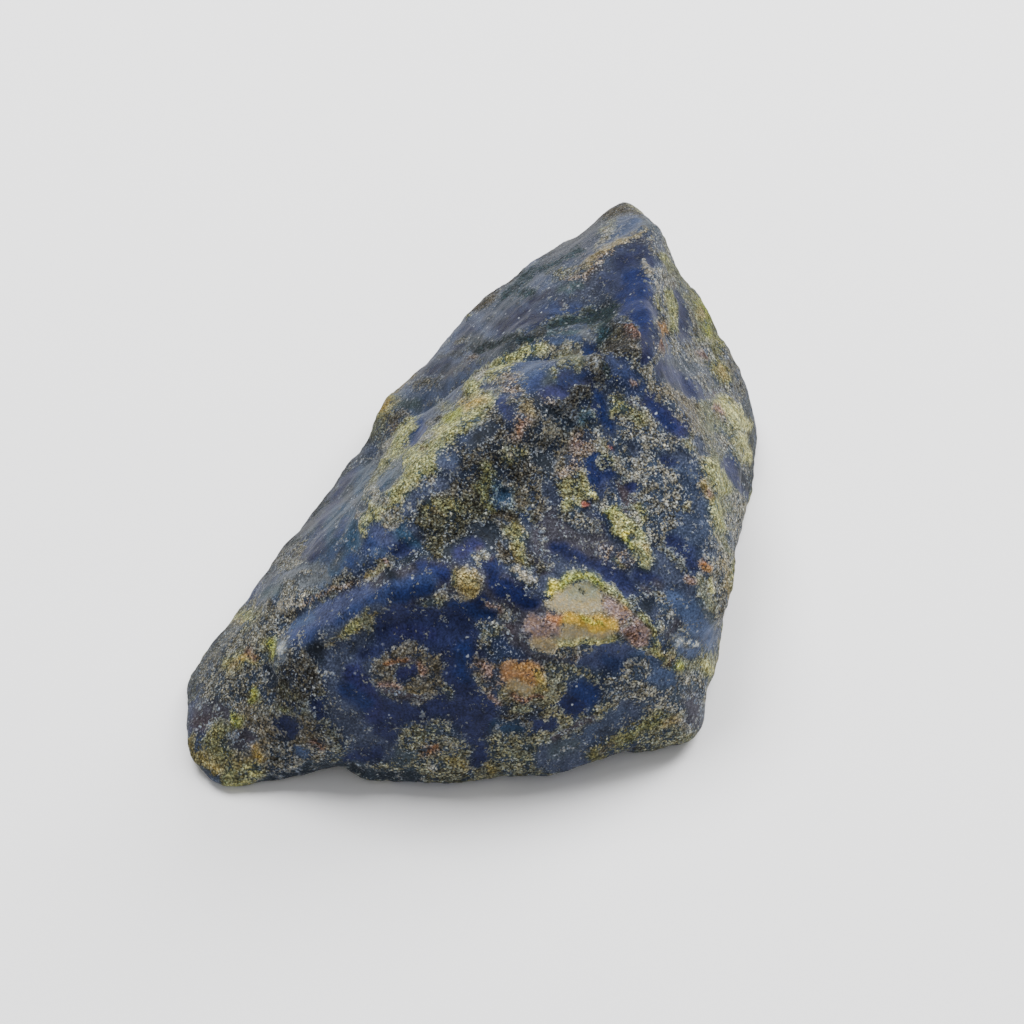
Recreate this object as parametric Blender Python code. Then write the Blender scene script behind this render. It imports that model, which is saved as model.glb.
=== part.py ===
"""A rough piece of lapis lazuli, one closed stone with broken, lightly worn faces.

The stone is a wedge. Its crest runs from the far tip to the high point and down to the blunt nose.
A long slope faces the front, a steep flank falls away behind, and a broken gable closes the near end.

Its surface is worked out along rays from a point inside the stone. The fracture planes give the
distance to the block, rounded where planes meet. Ridges, grooves and lumps are then added, and the
underside is cut off flat. Table values are millimetres, and the mesh is metres.
"""

import math

import bmesh
import bpy
import numpy as np
from mathutils import Vector

MM = 0.001

# The stone is 58 mm long, 37 mm wide and 21 mm high, and stands on the plane z = 0.
STONE_NAME = "lapis_stone"

# The middle of its footprint, in the tables' coordinates. It becomes the origin.
FOOTPRINT_MIDDLE = (-1.5, -0.4, 0.0)

# The point inside it that the rays start from, the rays' stretch along each axis, how sharply its
# faces meet, and the number of cells along each side of the cube of rays.
HEART = (-2.3, -0.5, 8.0)
REACH = (27.0, 17.0, 11.0)
EDGE_SHARPNESS = 18.0
CELLS_PER_SIDE = 28

# Each fracture plane: a point on it, the compass angle it faces (0 is +X, 90 is +Y) and its slope
# from level, both in degrees.
FRACTURE_PLANES = {
    "front_slope": ((-9.3, -6.5, 15.9), -124, 37),
    "upper_face": ((4.7, 4.5, 16.6), 84, 28),
    "right_face": ((10.6, -4.4, 15.3), -50, 58),
    "gable": ((-20.0, -6.0, 8.2), -143, 71),
    "gable_right": ((-12.5, -16.4, 3.3), -122, 73),
    "left_flank": ((-4.5, 5.2, 15.9), 96, 54),
    "nose_top": ((-23.2, 5.7, 7.9), 146, 42),
    "nose_end": ((-28.6, 7.5, 3.1), 160, 80),
    "nose_front": ((-29.3, 4.3, 1.8), -160, 80),
    "tip_shoulder": ((21.8, 8.9, 11.2), 76, 44),
    "tip_end": ((28.0, 10.5, 5.6), 34, 74),
    "right_side": ((0.6, -14.7, 6.0), -68, 87),
    "right_corner": ((-7.6, -17.4, 3.9), -88, 84),
    "back_right": ((20.9, -2.0, 7.0), -26, 80),
    "back_left": ((10.7, 17.8, 2.0), 95, 86),
    "gable_undercut": ((-17.3, -12.2, 0.6), -133, 140),
    "underside": ((0.7, 3.5, -0.4), 0, 180),
}

# Each form on the faces: the points that it follows, its half width, and its height, negative where
# it is cut into the stone.
RELIEF = {
    "hump": (
        [
            (-0.3, -2.5, 21.0),
            (-3.3, -0.5, 20.0),
            (-9.3, 1.0, 19.0),
            (-15.3, 1.5, 17.0),
            (-19.8, 3.5, 13.5),
        ],
        2.6,
        0.55,
    ),
    "upper_valley": (
        [
            (2.7, -2.5, 20.5),
            (2.7, 0.5, 18.7),
            (1.2, 4.5, 16.4),
            (0.7, 8.5, 11.5),
            (-0.8, 11.5, 7.5),
            (-3.3, 13.5, 4.5),
        ],
        1.9,
        -1.5,
    ),
    "upper_dish": ([(8.7, 1.5, 17.5), (6.7, 6.5, 14.5)], 3.6, -0.7),
    "middle_valley": (
        [
            (1.2, -3.5, 20.5),
            (-2.8, -4.2, 20.0),
            (-5.3, -4.5, 18.7),
            (-9.3, -4.1, 17.3),
            (-12.3, -4.0, 16.0),
        ],
        2.8,
        -0.55,
    ),
    "middle_pit": ([(-5.6, -4.5, 18.7)], 1.3, -0.6),
    "lower_pit": ([(-9.9, -3.3, 17.2)], 1.3, -0.5),
    "roll": (
        [
            (-23.5, 5.1, 8.6),
            (-21.3, 2.9, 11.5),
            (-19.2, 0.2, 14.2),
            (-17.1, -2.2, 15.1),
            (-15.0, -4.7, 14.9),
        ],
        1.5,
        0.7,
    ),
    "crack": (
        [(-21.8, 7.0, 8.3), (-20.2, 3.6, 11.9), (-17.5, 0.5, 15.1), (-15.9, -0.7, 16.0)],
        0.8,
        -0.55,
    ),
    "under_roll": (
        [(-23.7, 2.1, 10.0), (-20.9, -1.3, 12.6), (-17.8, -4.4, 12.6), (-14.7, -7.7, 12.0)],
        1.1,
        -0.5,
    ),
    "window_ledge": ([(-13.3, -9.0, 12.0), (-11.3, -11.5, 11.4), (-9.8, -13.5, 10.6)], 1.5, 0.6),
    "window_step": ([(-14.9, -9.1, 10.2), (-12.3, -12.3, 9.2), (-9.9, -14.5, 8.6)], 1.1, -0.45),
    "nose_lobe": ([(-28.9, 9.6, 2.4), (-29.4, 6.8, 1.2)], 2.8, 2.6),
    "nose_ledge": ([(-22.0, 13.0, 1.5)], 1.8, 0.6),
    "nose_undercut": ([(-26.6, 0.4, 0.0)], 2.0, -0.9),
    "gable_foot": ([(-17.5, -12.0, 0.5)], 3.0, 0.7),
    "corner_nub": ([(-8.9, -18.6, 1.8)], 2.2, 1.4),
    "crest": ([(18.7, 2.7, 15.8), (10.7, -1.5, 18.5), (2.7, -6.0, 21.0)], 1.3, 0.5),
    "tip_ridge": ([(9.7, 4.5, 16.5), (13.7, 3.5, 16.8), (17.7, 2.7, 16.3)], 1.2, 0.4),
    "tip_lobe": ([(26.8, 9.2, 9.2)], 3.4, 2.8),
    "left_knob": ([(3.0, 16.4, 2.4)], 1.8, 0.8),
    "left_notch": ([(-0.8, 15.9, 2.0)], 1.6, -0.6),
    "flank_swell": ([(-2.0, 14.0, 5.0), (6.0, 14.0, 6.0), (18.0, 13.0, 6.0)], 3.6, 0.8),
    "back_scoop": ([(13.0, 17.0, 3.5), (20.0, 14.5, 3.5), (23.4, 17.6, 1.0)], 3.0, -1.0),
    "back_ledge": (
        [(-14.0, 12.0, 7.5), (-4.0, 13.5, 9.0), (5.0, 13.0, 11.0), (14.0, 11.5, 12.0)],
        1.1,
        0.5,
    ),
    "tip_chip": ([(27.5, 4.5, 3.5)], 2.6, -1.2),
    "side_scoop": ([(5.0, -13.0, 5.0), (12.0, -8.5, 4.0)], 3.0, -1.0),
    "side_foot": ([(12.4, -10.4, 1.0)], 3.0, 0.5),
    "side_swell": ([(-2.5, -16.2, 8.0)], 2.5, 0.4),
    "side_rib": ([(-5.0, -16.5, 9.0), (6.0, -11.5, 10.0), (17.0, -5.0, 8.5)], 1.3, 0.5),
    "underside_hollow": ([(9.0, 5.0, 0.0), (16.0, 6.0, 0.0)], 3.2, -1.2),
    "underside_pit": ([(-17.0, 3.5, 0.0)], 2.6, -1.1),
}

# Unevenness of the broken faces: the width of its lumps and their height.
LUMPS = ((9.0, 0.55), (4.2, 0.3), (2.1, 0.16))
LATTICE_SIZE = 64
LATTICE_SEED = 17

# The least the surface leans towards its ray, so that a steep face doesn't throw a lump far out.
LEAST_LEAN = 0.35

STONE_COLOUR = (0.028, 0.052, 0.175, 1.0)
STONE_ROUGHNESS = 0.6


def clear_objects():
    for old_object in list(bpy.data.objects):
        bpy.data.objects.remove(old_object, do_unlink=True)


def unit_rows(vectors):
    return vectors / np.linalg.norm(vectors, axis=1)[:, None]


def outward_normal(compass, slope):
    """The direction a plane faces, from its compass angle and its slope from level in degrees."""
    turn = math.radians(compass)
    lean = math.radians(slope)
    return (math.sin(lean) * math.cos(turn), math.sin(lean) * math.sin(turn), math.cos(lean))


def block_distance(rays):
    """How far each ray from the heart runs inside the block, and how squarely it meets the surface.

    A ray meets plane k at 1 / q_k, with q_k the ray's share along the plane's normal divided by the
    plane's distance. The block's surface is at (sum of q_k to the power p) to the power -1/p, which
    is the nearest plane, rounded over where two of them are about as near.
    """
    normals = np.array([outward_normal(compass, slope) for _, compass, slope in FRACTURE_PLANES.values()])
    points = np.array([point for point, _, _ in FRACTURE_PLANES.values()])
    distances = ((points - HEART) * normals).sum(axis=1)
    nearness = np.maximum(rays @ (normals / distances[:, None]).T, 0.0)
    distance = (nearness**EDGE_SHARPNESS).sum(axis=1) ** (-1.0 / EDGE_SHARPNESS)
    weights = (nearness * distance[:, None]) ** (EDGE_SHARPNESS - 1.0)
    facing = unit_rows(weights @ (normals / distances[:, None]))
    lean = np.maximum((facing * rays).sum(axis=1), LEAST_LEAN)
    return distance, lean


def distance_to_line(points, line):
    """The distance from each point to a line of straight runs, or to its only point."""
    corners = np.array(line)
    nearest = np.linalg.norm(points - corners[0], axis=1)
    for start, end in zip(corners[:-1], corners[1:]):
        run = end - start
        share = np.clip((points - start) @ run / (run @ run), 0.0, 1.0)
        foot = start + share[:, None] * run
        nearest = np.minimum(nearest, np.linalg.norm(points - foot, axis=1))
    return nearest


def lattice_noise(points, lump_width, lattice):
    """Smooth noise from -1 to 1: random values on a cubic lattice, blended between its corners."""
    place = points / lump_width
    cell = np.floor(place).astype(int)
    part = place - cell
    blend = part * part * (3.0 - 2.0 * part)
    total = np.zeros(len(points))
    for corner in np.ndindex(2, 2, 2):
        weight = np.where(corner, blend, 1.0 - blend).prod(axis=1)
        index = (cell + corner) % LATTICE_SIZE
        total += weight * lattice[index[:, 0], index[:, 1], index[:, 2]]
    return total


def relief_height(points):
    """The forms and the lumps at each point, as a height over the block's face."""
    lattice = np.random.default_rng(LATTICE_SEED).uniform(-1.0, 1.0, (LATTICE_SIZE,) * 3)
    height = np.zeros(len(points))
    for line, half_width, rise in RELIEF.values():
        height += rise * np.exp(-((distance_to_line(points, line) / half_width) ** 2))
    for lump_width, lump_height in LUMPS:
        height += lump_height * lattice_noise(points, lump_width, lattice)
    return height


def stone_surface(rays):
    """The surface point on each ray: the block, raised by its relief, then cut off level at z = 0."""
    heart = np.array(HEART)
    distance, lean = block_distance(rays)
    block = heart + rays * distance[:, None]
    distance = distance + relief_height(block) / lean
    drop = np.maximum(-rays[:, 2], 1e-9)
    floor_distance = heart[2] / drop
    on_floor = distance >= floor_distance
    surface = heart + rays * np.minimum(distance, floor_distance)[:, None]
    surface[on_floor, 2] = 0.0
    return surface


def cube_rays(bm):
    """Rays through the grid points of a cube, evenly spread and stretched to the stone's reach."""
    corners = np.array([vertex.co for vertex in bm.verts])
    return unit_rows(np.tan(corners * math.pi / 4) * np.array(REACH))


def split_outward(bm):
    """Cuts each four-sided cell along its outer diagonal, so that crests stay straight."""
    heart = (Vector(HEART) - Vector(FOOTPRINT_MIDDLE)) * MM
    for cell in list(bm.faces):
        a, b, c, d = cell.verts
        first_middle = (a.co + c.co) / 2 - heart
        second_middle = (b.co + d.co) / 2 - heart
        ends = (a, c) if first_middle.length > second_middle.length else (b, d)
        bmesh.utils.face_split(cell, *ends)


def make_stone():
    bm = bmesh.new()
    bmesh.ops.create_cube(bm, size=2.0)
    bmesh.ops.subdivide_edges(bm, edges=bm.edges, cuts=CELLS_PER_SIDE - 1, use_grid_fill=True)
    surface = (stone_surface(cube_rays(bm)) - FOOTPRINT_MIDDLE) * MM
    for vertex, place in zip(bm.verts, surface):
        vertex.co = place
    split_outward(bm)
    mesh = bpy.data.meshes.new(STONE_NAME)
    bm.to_mesh(mesh)
    bm.free()
    mesh.shade_smooth()
    stone = bpy.data.objects.new(STONE_NAME, mesh)
    bpy.context.scene.collection.objects.link(stone)
    return stone


def make_lapis_material():
    """Deep blue lazurite rock, dull where it was broken."""
    material = bpy.data.materials.new("rough_lapis_lazuli")
    material.use_nodes = True
    shader = material.node_tree.nodes["Principled BSDF"]
    shader.inputs["Base Color"].default_value = STONE_COLOUR
    shader.inputs["Roughness"].default_value = STONE_ROUGHNESS
    shader.inputs["Metallic"].default_value = 0.0
    return material


def main():
    clear_objects()
    stone = make_stone()
    stone.data.materials.append(make_lapis_material())


if __name__ == "__main__":
    main()
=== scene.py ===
"""Rough lapis lazuli: a broken wedge of blue rock under a patchy crust of ochre, grey and rust.

The stone is one closed surface. It is worked out along rays from a point inside it, with the same
planes and forms as the solid that it stands for, and finer relief under its crust. The crust and the
tones of the rock are painted on the surface as strokes of named minerals, laid one over another.
"""

import math

import bpy
import numpy as np
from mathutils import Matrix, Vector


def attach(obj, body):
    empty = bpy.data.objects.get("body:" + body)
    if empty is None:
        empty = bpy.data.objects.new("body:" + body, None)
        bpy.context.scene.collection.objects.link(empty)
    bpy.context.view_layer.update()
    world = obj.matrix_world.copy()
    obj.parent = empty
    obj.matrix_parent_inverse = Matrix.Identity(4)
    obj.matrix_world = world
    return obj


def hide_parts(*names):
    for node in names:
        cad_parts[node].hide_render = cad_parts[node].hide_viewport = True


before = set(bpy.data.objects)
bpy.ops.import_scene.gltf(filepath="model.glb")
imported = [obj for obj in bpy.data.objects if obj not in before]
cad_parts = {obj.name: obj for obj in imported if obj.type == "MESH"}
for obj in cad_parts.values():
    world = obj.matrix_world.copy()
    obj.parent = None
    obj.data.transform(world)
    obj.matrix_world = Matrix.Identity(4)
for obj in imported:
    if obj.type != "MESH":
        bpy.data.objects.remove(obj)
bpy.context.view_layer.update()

bl_info = {
    "name": "Rough Lapis Lazuli",
    "version": (1, 0, 0),
    "blender": (4, 5, 0),
    "location": "View3D > Sidebar > Lapis",
    "description": "Builds a piece of rough lapis lazuli with its crust, on a pale table",
    "category": "Add Mesh",
}

MM = 0.001
STONE_NODE = "lapis_stone"

# ---------------------------------------------------------------- the stone's shape, in millimetres

# The middle of its footprint, in the tables' coordinates. It becomes the origin.
FOOTPRINT_MIDDLE = (-1.5, -0.4, 0.0)

# The point inside it that the rays start from, the rays' stretch along each axis, and how sharply
# its faces meet.
HEART = (-2.3, -0.5, 8.0)
REACH = (27.0, 17.0, 11.0)
EDGE_SHARPNESS = 18.0

# Cells along the box of rays, so that one is about 0.28 mm wide on the stone.
RAY_CELLS = (190, 120, 80)

# Each fracture plane: a point on it, the compass angle it faces (0 is +X, 90 is +Y) and its slope
# from level, both in degrees.
FRACTURE_PLANES = {
    "front_slope": ((-9.3, -6.5, 15.9), -124, 37),
    "upper_face": ((4.7, 4.5, 16.6), 84, 28),
    "right_face": ((10.6, -4.4, 15.3), -50, 58),
    "gable": ((-20.0, -6.0, 8.2), -143, 71),
    "gable_right": ((-12.5, -16.4, 3.3), -122, 73),
    "left_flank": ((-4.5, 5.2, 15.9), 96, 54),
    "nose_top": ((-23.2, 5.7, 7.9), 146, 42),
    "nose_end": ((-28.6, 7.5, 3.1), 160, 80),
    "nose_front": ((-29.3, 4.3, 1.8), -160, 80),
    "tip_shoulder": ((21.8, 8.9, 11.2), 76, 44),
    "tip_end": ((28.0, 10.5, 5.6), 34, 74),
    "right_side": ((0.6, -14.7, 6.0), -68, 87),
    "right_corner": ((-7.6, -17.4, 3.9), -88, 84),
    "back_right": ((20.9, -2.0, 7.0), -26, 80),
    "back_left": ((10.7, 17.8, 2.0), 95, 86),
    "gable_undercut": ((-17.3, -12.2, 0.6), -133, 140),
    "underside": ((0.7, 3.5, -0.4), 0, 180),
}

# Each form on the faces: the points that it follows, its half width, and its height, negative where
# it is cut into the stone.
RELIEF = {
    "hump": (
        [(-0.3, -2.5, 21.0), (-3.3, -0.5, 20.0), (-9.3, 1.0, 19.0), (-15.3, 1.5, 17.0), (-19.8, 3.5, 13.5)],
        2.6,
        0.55,
    ),
    "upper_valley": (
        [
            (2.7, -2.5, 20.5), (2.7, 0.5, 18.7), (1.2, 4.5, 16.4), (0.7, 8.5, 11.5), (-0.8, 11.5, 7.5),
            (-3.3, 13.5, 4.5),
        ],
        1.9,
        -1.5,
    ),
    "upper_dish": ([(8.7, 1.5, 17.5), (6.7, 6.5, 14.5)], 3.6, -0.7),
    "middle_valley": (
        [(1.2, -3.5, 20.5), (-2.8, -4.2, 20.0), (-5.3, -4.5, 18.7), (-9.3, -4.1, 17.3), (-12.3, -4.0, 16.0)],
        2.8,
        -0.55,
    ),
    "middle_pit": ([(-5.6, -4.5, 18.7)], 1.3, -0.6),
    "lower_pit": ([(-9.9, -3.3, 17.2)], 1.3, -0.5),
    "roll": (
        [(-23.5, 5.1, 8.6), (-21.3, 2.9, 11.5), (-19.2, 0.2, 14.2), (-17.1, -2.2, 15.1), (-15.0, -4.7, 14.9)],
        1.5,
        0.7,
    ),
    "crack": (
        [(-21.8, 7.0, 8.3), (-20.2, 3.6, 11.9), (-17.5, 0.5, 15.1), (-15.9, -0.7, 16.0)],
        0.8,
        -0.55,
    ),
    "under_roll": (
        [(-23.7, 2.1, 10.0), (-20.9, -1.3, 12.6), (-17.8, -4.4, 12.6), (-14.7, -7.7, 12.0)],
        1.1,
        -0.5,
    ),
    "window_ledge": ([(-13.3, -9.0, 12.0), (-11.3, -11.5, 11.4), (-9.8, -13.5, 10.6)], 1.5, 0.6),
    "window_step": ([(-14.9, -9.1, 10.2), (-12.3, -12.3, 9.2), (-9.9, -14.5, 8.6)], 1.1, -0.45),
    "nose_lobe": ([(-28.9, 9.6, 2.4), (-29.4, 6.8, 1.2)], 2.8, 2.6),
    "nose_ledge": ([(-22.0, 13.0, 1.5)], 1.8, 0.6),
    "nose_undercut": ([(-26.6, 0.4, 0.0)], 2.0, -0.9),
    "gable_foot": ([(-17.5, -12.0, 0.5)], 3.0, 0.7),
    "corner_nub": ([(-8.9, -18.6, 1.8)], 2.2, 1.4),
    "crest": ([(18.7, 2.7, 15.8), (10.7, -1.5, 18.5), (2.7, -6.0, 21.0)], 1.3, 0.5),
    "tip_ridge": ([(9.7, 4.5, 16.5), (13.7, 3.5, 16.8), (17.7, 2.7, 16.3)], 1.2, 0.4),
    "tip_lobe": ([(26.8, 9.2, 9.2)], 3.4, 2.8),
    "left_knob": ([(3.0, 16.4, 2.4)], 1.8, 0.8),
    "left_notch": ([(-0.8, 15.9, 2.0)], 1.6, -0.6),
    "flank_swell": ([(-2.0, 14.0, 5.0), (6.0, 14.0, 6.0), (18.0, 13.0, 6.0)], 3.6, 0.8),
    "back_scoop": ([(13.0, 17.0, 3.5), (20.0, 14.5, 3.5), (23.4, 17.6, 1.0)], 3.0, -1.0),
    "back_ledge": ([(-14.0, 12.0, 7.5), (-4.0, 13.5, 9.0), (5.0, 13.0, 11.0), (14.0, 11.5, 12.0)], 1.1, 0.5),
    "tip_chip": ([(27.5, 4.5, 3.5)], 2.6, -1.2),
    "side_scoop": ([(5.0, -13.0, 5.0), (12.0, -8.5, 4.0)], 3.0, -1.0),
    "side_foot": ([(12.4, -10.4, 1.0)], 3.0, 0.5),
    "side_swell": ([(-2.5, -16.2, 8.0)], 2.5, 0.4),
    "side_rib": ([(-5.0, -16.5, 9.0), (6.0, -11.5, 10.0), (17.0, -5.0, 8.5)], 1.3, 0.5),
    "underside_hollow": ([(9.0, 5.0, 0.0), (16.0, 6.0, 0.0)], 3.2, -1.2),
    "underside_pit": ([(-17.0, 3.5, 0.0)], 2.6, -1.1),
}

# Unevenness of the broken faces: the width of its lumps and their height.
LUMPS = ((9.0, 0.55), (4.2, 0.3), (2.1, 0.16))

# The noise's lattice of random values: its size, and the seeds of the ones for the stone's lumps, its
# bare tones, the strokes' wandering and the finer lumps.
LATTICE_SIZE = 64
LUMP_SEED, TONE_SEED, WANDER_SEED, FINE_SEED = 17, 18, 19, 20

# The least the surface leans towards its ray, so that a steep face doesn't throw a lump far out, and
# the least a ray drops, so that a level one meets the ground very far away.
LEAST_LEAN = 0.35
LEAST_DROP = 1e-9

# Finer unevenness that the solid leaves out: lump width and height, on all the rock and on crust. The
# crust's lumps are read this far off in the lattice, so that they don't repeat the rock's.
FINE_LUMPS = ((1.1, 0.08), (0.6, 0.04))
CRUST_LUMPS = ((0.8, 0.07), (0.45, 0.09))
CRUST_SHIFT = 7.0

# ------------------------------------------------------------------------ the camera and its view

# Where the camera looks and how far off it is, in millimetres, the turn and the height that it looks
# from, in degrees, and its lens and sensor in millimetres. The nearest thing that it shows is this
# many metres off, and its square view has this many pixels to a side.
CAMERA_TARGET = (2.2, 3.9, 0.0)
CAMERA_AZIMUTH = -56.0
CAMERA_ELEVATION = 50.0
CAMERA_DISTANCE = 131.0
CAMERA_LENS = 60.0
CAMERA_SENSOR = 36.0
CAMERA_NEAREST = 0.01
VIEW_SIDE = 1024

# --------------------------------------------------------------------------------- the minerals

# Each mineral or tone: how densely crust grains cover it, its colour, how grainy it is from 0 to 1,
# and how far it stands out from the stone in millimetres. From this coverage on a mineral is crust,
# and its colour is the colour of its grains. Below it, it is rock with a few grains on it, and its
# colour is the colour of the rock.
CRUST_COVER = 0.5
MINERALS = {
    "navy": (0.03, "#292f53", 0.3, 0.0),
    "blue_black": (0.05, "#1e2530", 0.4, 0.0),
    "deep_ultramarine": (0.0, "#1b2552", 0.2, 0.0),
    "ultramarine": (0.0, "#21305f", 0.3, 0.0),
    "royal_blue": (0.04, "#303d65", 0.4, 0.0),
    "vivid_blue": (0.03, "#1c2d68", 0.4, 0.0),
    "bright_blue": (0.02, "#384a78", 0.3, 0.0),
    "plum_navy": (0.02, "#2b2e58", 0.3, 0.0),
    "plum_blue": (0.06, "#414868", 0.4, 0.0),
    "slate_navy": (0.14, "#3f465b", 0.5, 0.0),
    "slate_blue": (0.15, "#3b455c", 0.5, 0.0),
    "dark_slate": (0.2, "#262e38", 0.6, 0.0),
    # The haze tones (haze_blue, teal_haze, pale_haze, grey_haze) are partly weathered lazurite with calcite
    # and partly painted sheen: the pale bluish grey that light lays over the rock.
    "haze_blue": (0.08, "#465575", 0.4, 0.0),
    "teal_blue": (0.08, "#2e4760", 0.5, 0.0),
    "teal_navy": (0.06, "#1d334c", 0.4, 0.0),
    "teal_haze": (0.18, "#47585e", 0.5, 0.0),
    "pale_haze": (0.2, "#767c82", 0.4, 0.0),
    "grey_haze": (0.25, "#465059", 0.5, 0.0),
    "plum": (0.28, "#46454f", 0.5, 0.0),
    "plum_brown": (0.3, "#4a4248", 0.5, 0.0),
    "dark_green": (0.7, "#243033", 0.6, -0.1),
    "dark_teal": (0.7, "#253940", 0.6, 0.0),
    "teal_nodule": (0.82, "#3d4f5a", 0.7, 0.25),
    "pit": (0.8, "#3a3a3a", 0.8, -0.25),
    "dark_pepper": (0.53, "#474641", 1.0, 0.05),
    "pepper": (0.53, "#6d6c65", 1.0, 0.1),
    "olive_pepper": (0.55, "#686858", 1.0, 0.1),
    "pink_pepper": (0.53, "#74685f", 1.0, 0.1),
    "grey_grains": (0.58, "#63625a", 0.9, 0.1),
    "rim_grey": (0.75, "#45484a", 0.6, 0.05),
    "grey_green": (0.72, "#6a6c59", 0.7, 0.08),
    "cream_grey": (0.75, "#7a7970", 0.8, 0.12),
    "cream": (0.82, "#928e83", 0.7, 0.12),
    "pink_cream": (0.78, "#747068", 0.8, 0.1),
    "ochre": (0.7, "#898b5f", 0.9, 0.2),
    "pale_ochre": (0.82, "#8f9064", 0.8, 0.22),
    "pale_crust": (0.8, "#a09e6c", 0.8, 0.2),
    "olive_ochre": (0.68, "#777750", 0.9, 0.2),
    "ochre_tan": (0.82, "#8c7f54", 0.8, 0.15),
    "cream_band": (0.85, "#897f64", 0.5, 0.1),
    "yellow_green": (0.82, "#848944", 0.8, 0.18),
    "bright_yellow": (0.82, "#b0a542", 0.7, 0.18),
    "moss": (0.7, "#5a5c40", 0.9, 0.1),
    "olive": (0.72, "#646447", 0.9, 0.12),
    "dark_olive": (0.68, "#46463a", 1.0, 0.08),
    "olive_gold": (0.82, "#756d4a", 0.8, 0.12),
    "ochre_brown": (0.82, "#746a50", 0.8, 0.12),
    "orange_ochre": (0.82, "#9c8648", 0.7, 0.18),
    "orange": (0.82, "#98744a", 0.6, 0.15),
    "orange_red": (0.82, "#9e673e", 0.5, 0.12),
    "patch_orange": (0.95, "#9c7450", 0.35, 0.1),
    "rust": (0.82, "#6e503a", 0.8, 0.12),
    "red": (0.82, "#95544c", 0.5, 0.12),
    "red_brown": (0.72, "#705648", 0.9, 0.12),
    "rose": (0.82, "#7e6861", 0.8, 0.12),
    "mauve": (0.9, "#84706a", 0.3, 0.06),
    "brown_nodule": (0.82, "#3a3936", 1.0, 0.35),
    "rose_nodule": (0.82, "#634d46", 1.0, 0.4),
    "brown_grey": (0.68, "#575349", 0.8, 0.08),
    "dark_brown": (0.75, "#36322a", 0.8, 0.0),
    "calcite": (1.0, "#968a6c", 0.12, 0.05),
    "grey_calcite": (1.0, "#7e7e66", 0.12, 0.05),
    "smooth_cream": (0.95, "#968666", 0.25, 0.08),
    "smooth_orange": (0.95, "#b07646", 0.25, 0.08),
    "smooth_yellow": (0.95, "#bd9b40", 0.25, 0.1),
    # white is a painted highlight: the small glints where light catches the rock's sparkling grains.
    "white": (0.82, "#a8adae", 0.3, 0.15),
}

# Painted shade by face: how light each face's minerals are painted beside their colours in the table.
# Faces that the softboxes light strongly are painted darker, and faces turned away from them lighter.
FACE_PAINTED_SHADE = {
    "washes": 0.76,
    "far tip": 0.38,
    "tip band": 0.5,
    "blue face": 0.44,
    "nodules under the crest": 0.51,
    "upper left face": 0.35,
    "ochre vein": 0.61,
    "left flank": 0.5,
    "blue hump": 0.93,
    "middle valley": 0.80,
    "lower slope": 0.79,
    "roll": 0.84,
    "right of the crest": 0.81,
    "right side": 0.64,
    "grey nose": 0.66,
    "gable": 0.84,
    "right gable": 0.93,
    "calcite window": 0.84,
}

# The rock in a crust's gaps, painted darker than the crust as shade in the hollows between its grains: its
# red, green and blue beside the crust's, bluer because lazurite shows there, and how far it takes that shade.
# Then the colour of the few grains on bare rock.
GAP_SHADE = np.array([0.3, 0.42, 0.72])
GAP_HOLD = 0.7
DUST_COLOUR = "#6c7076"

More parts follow.
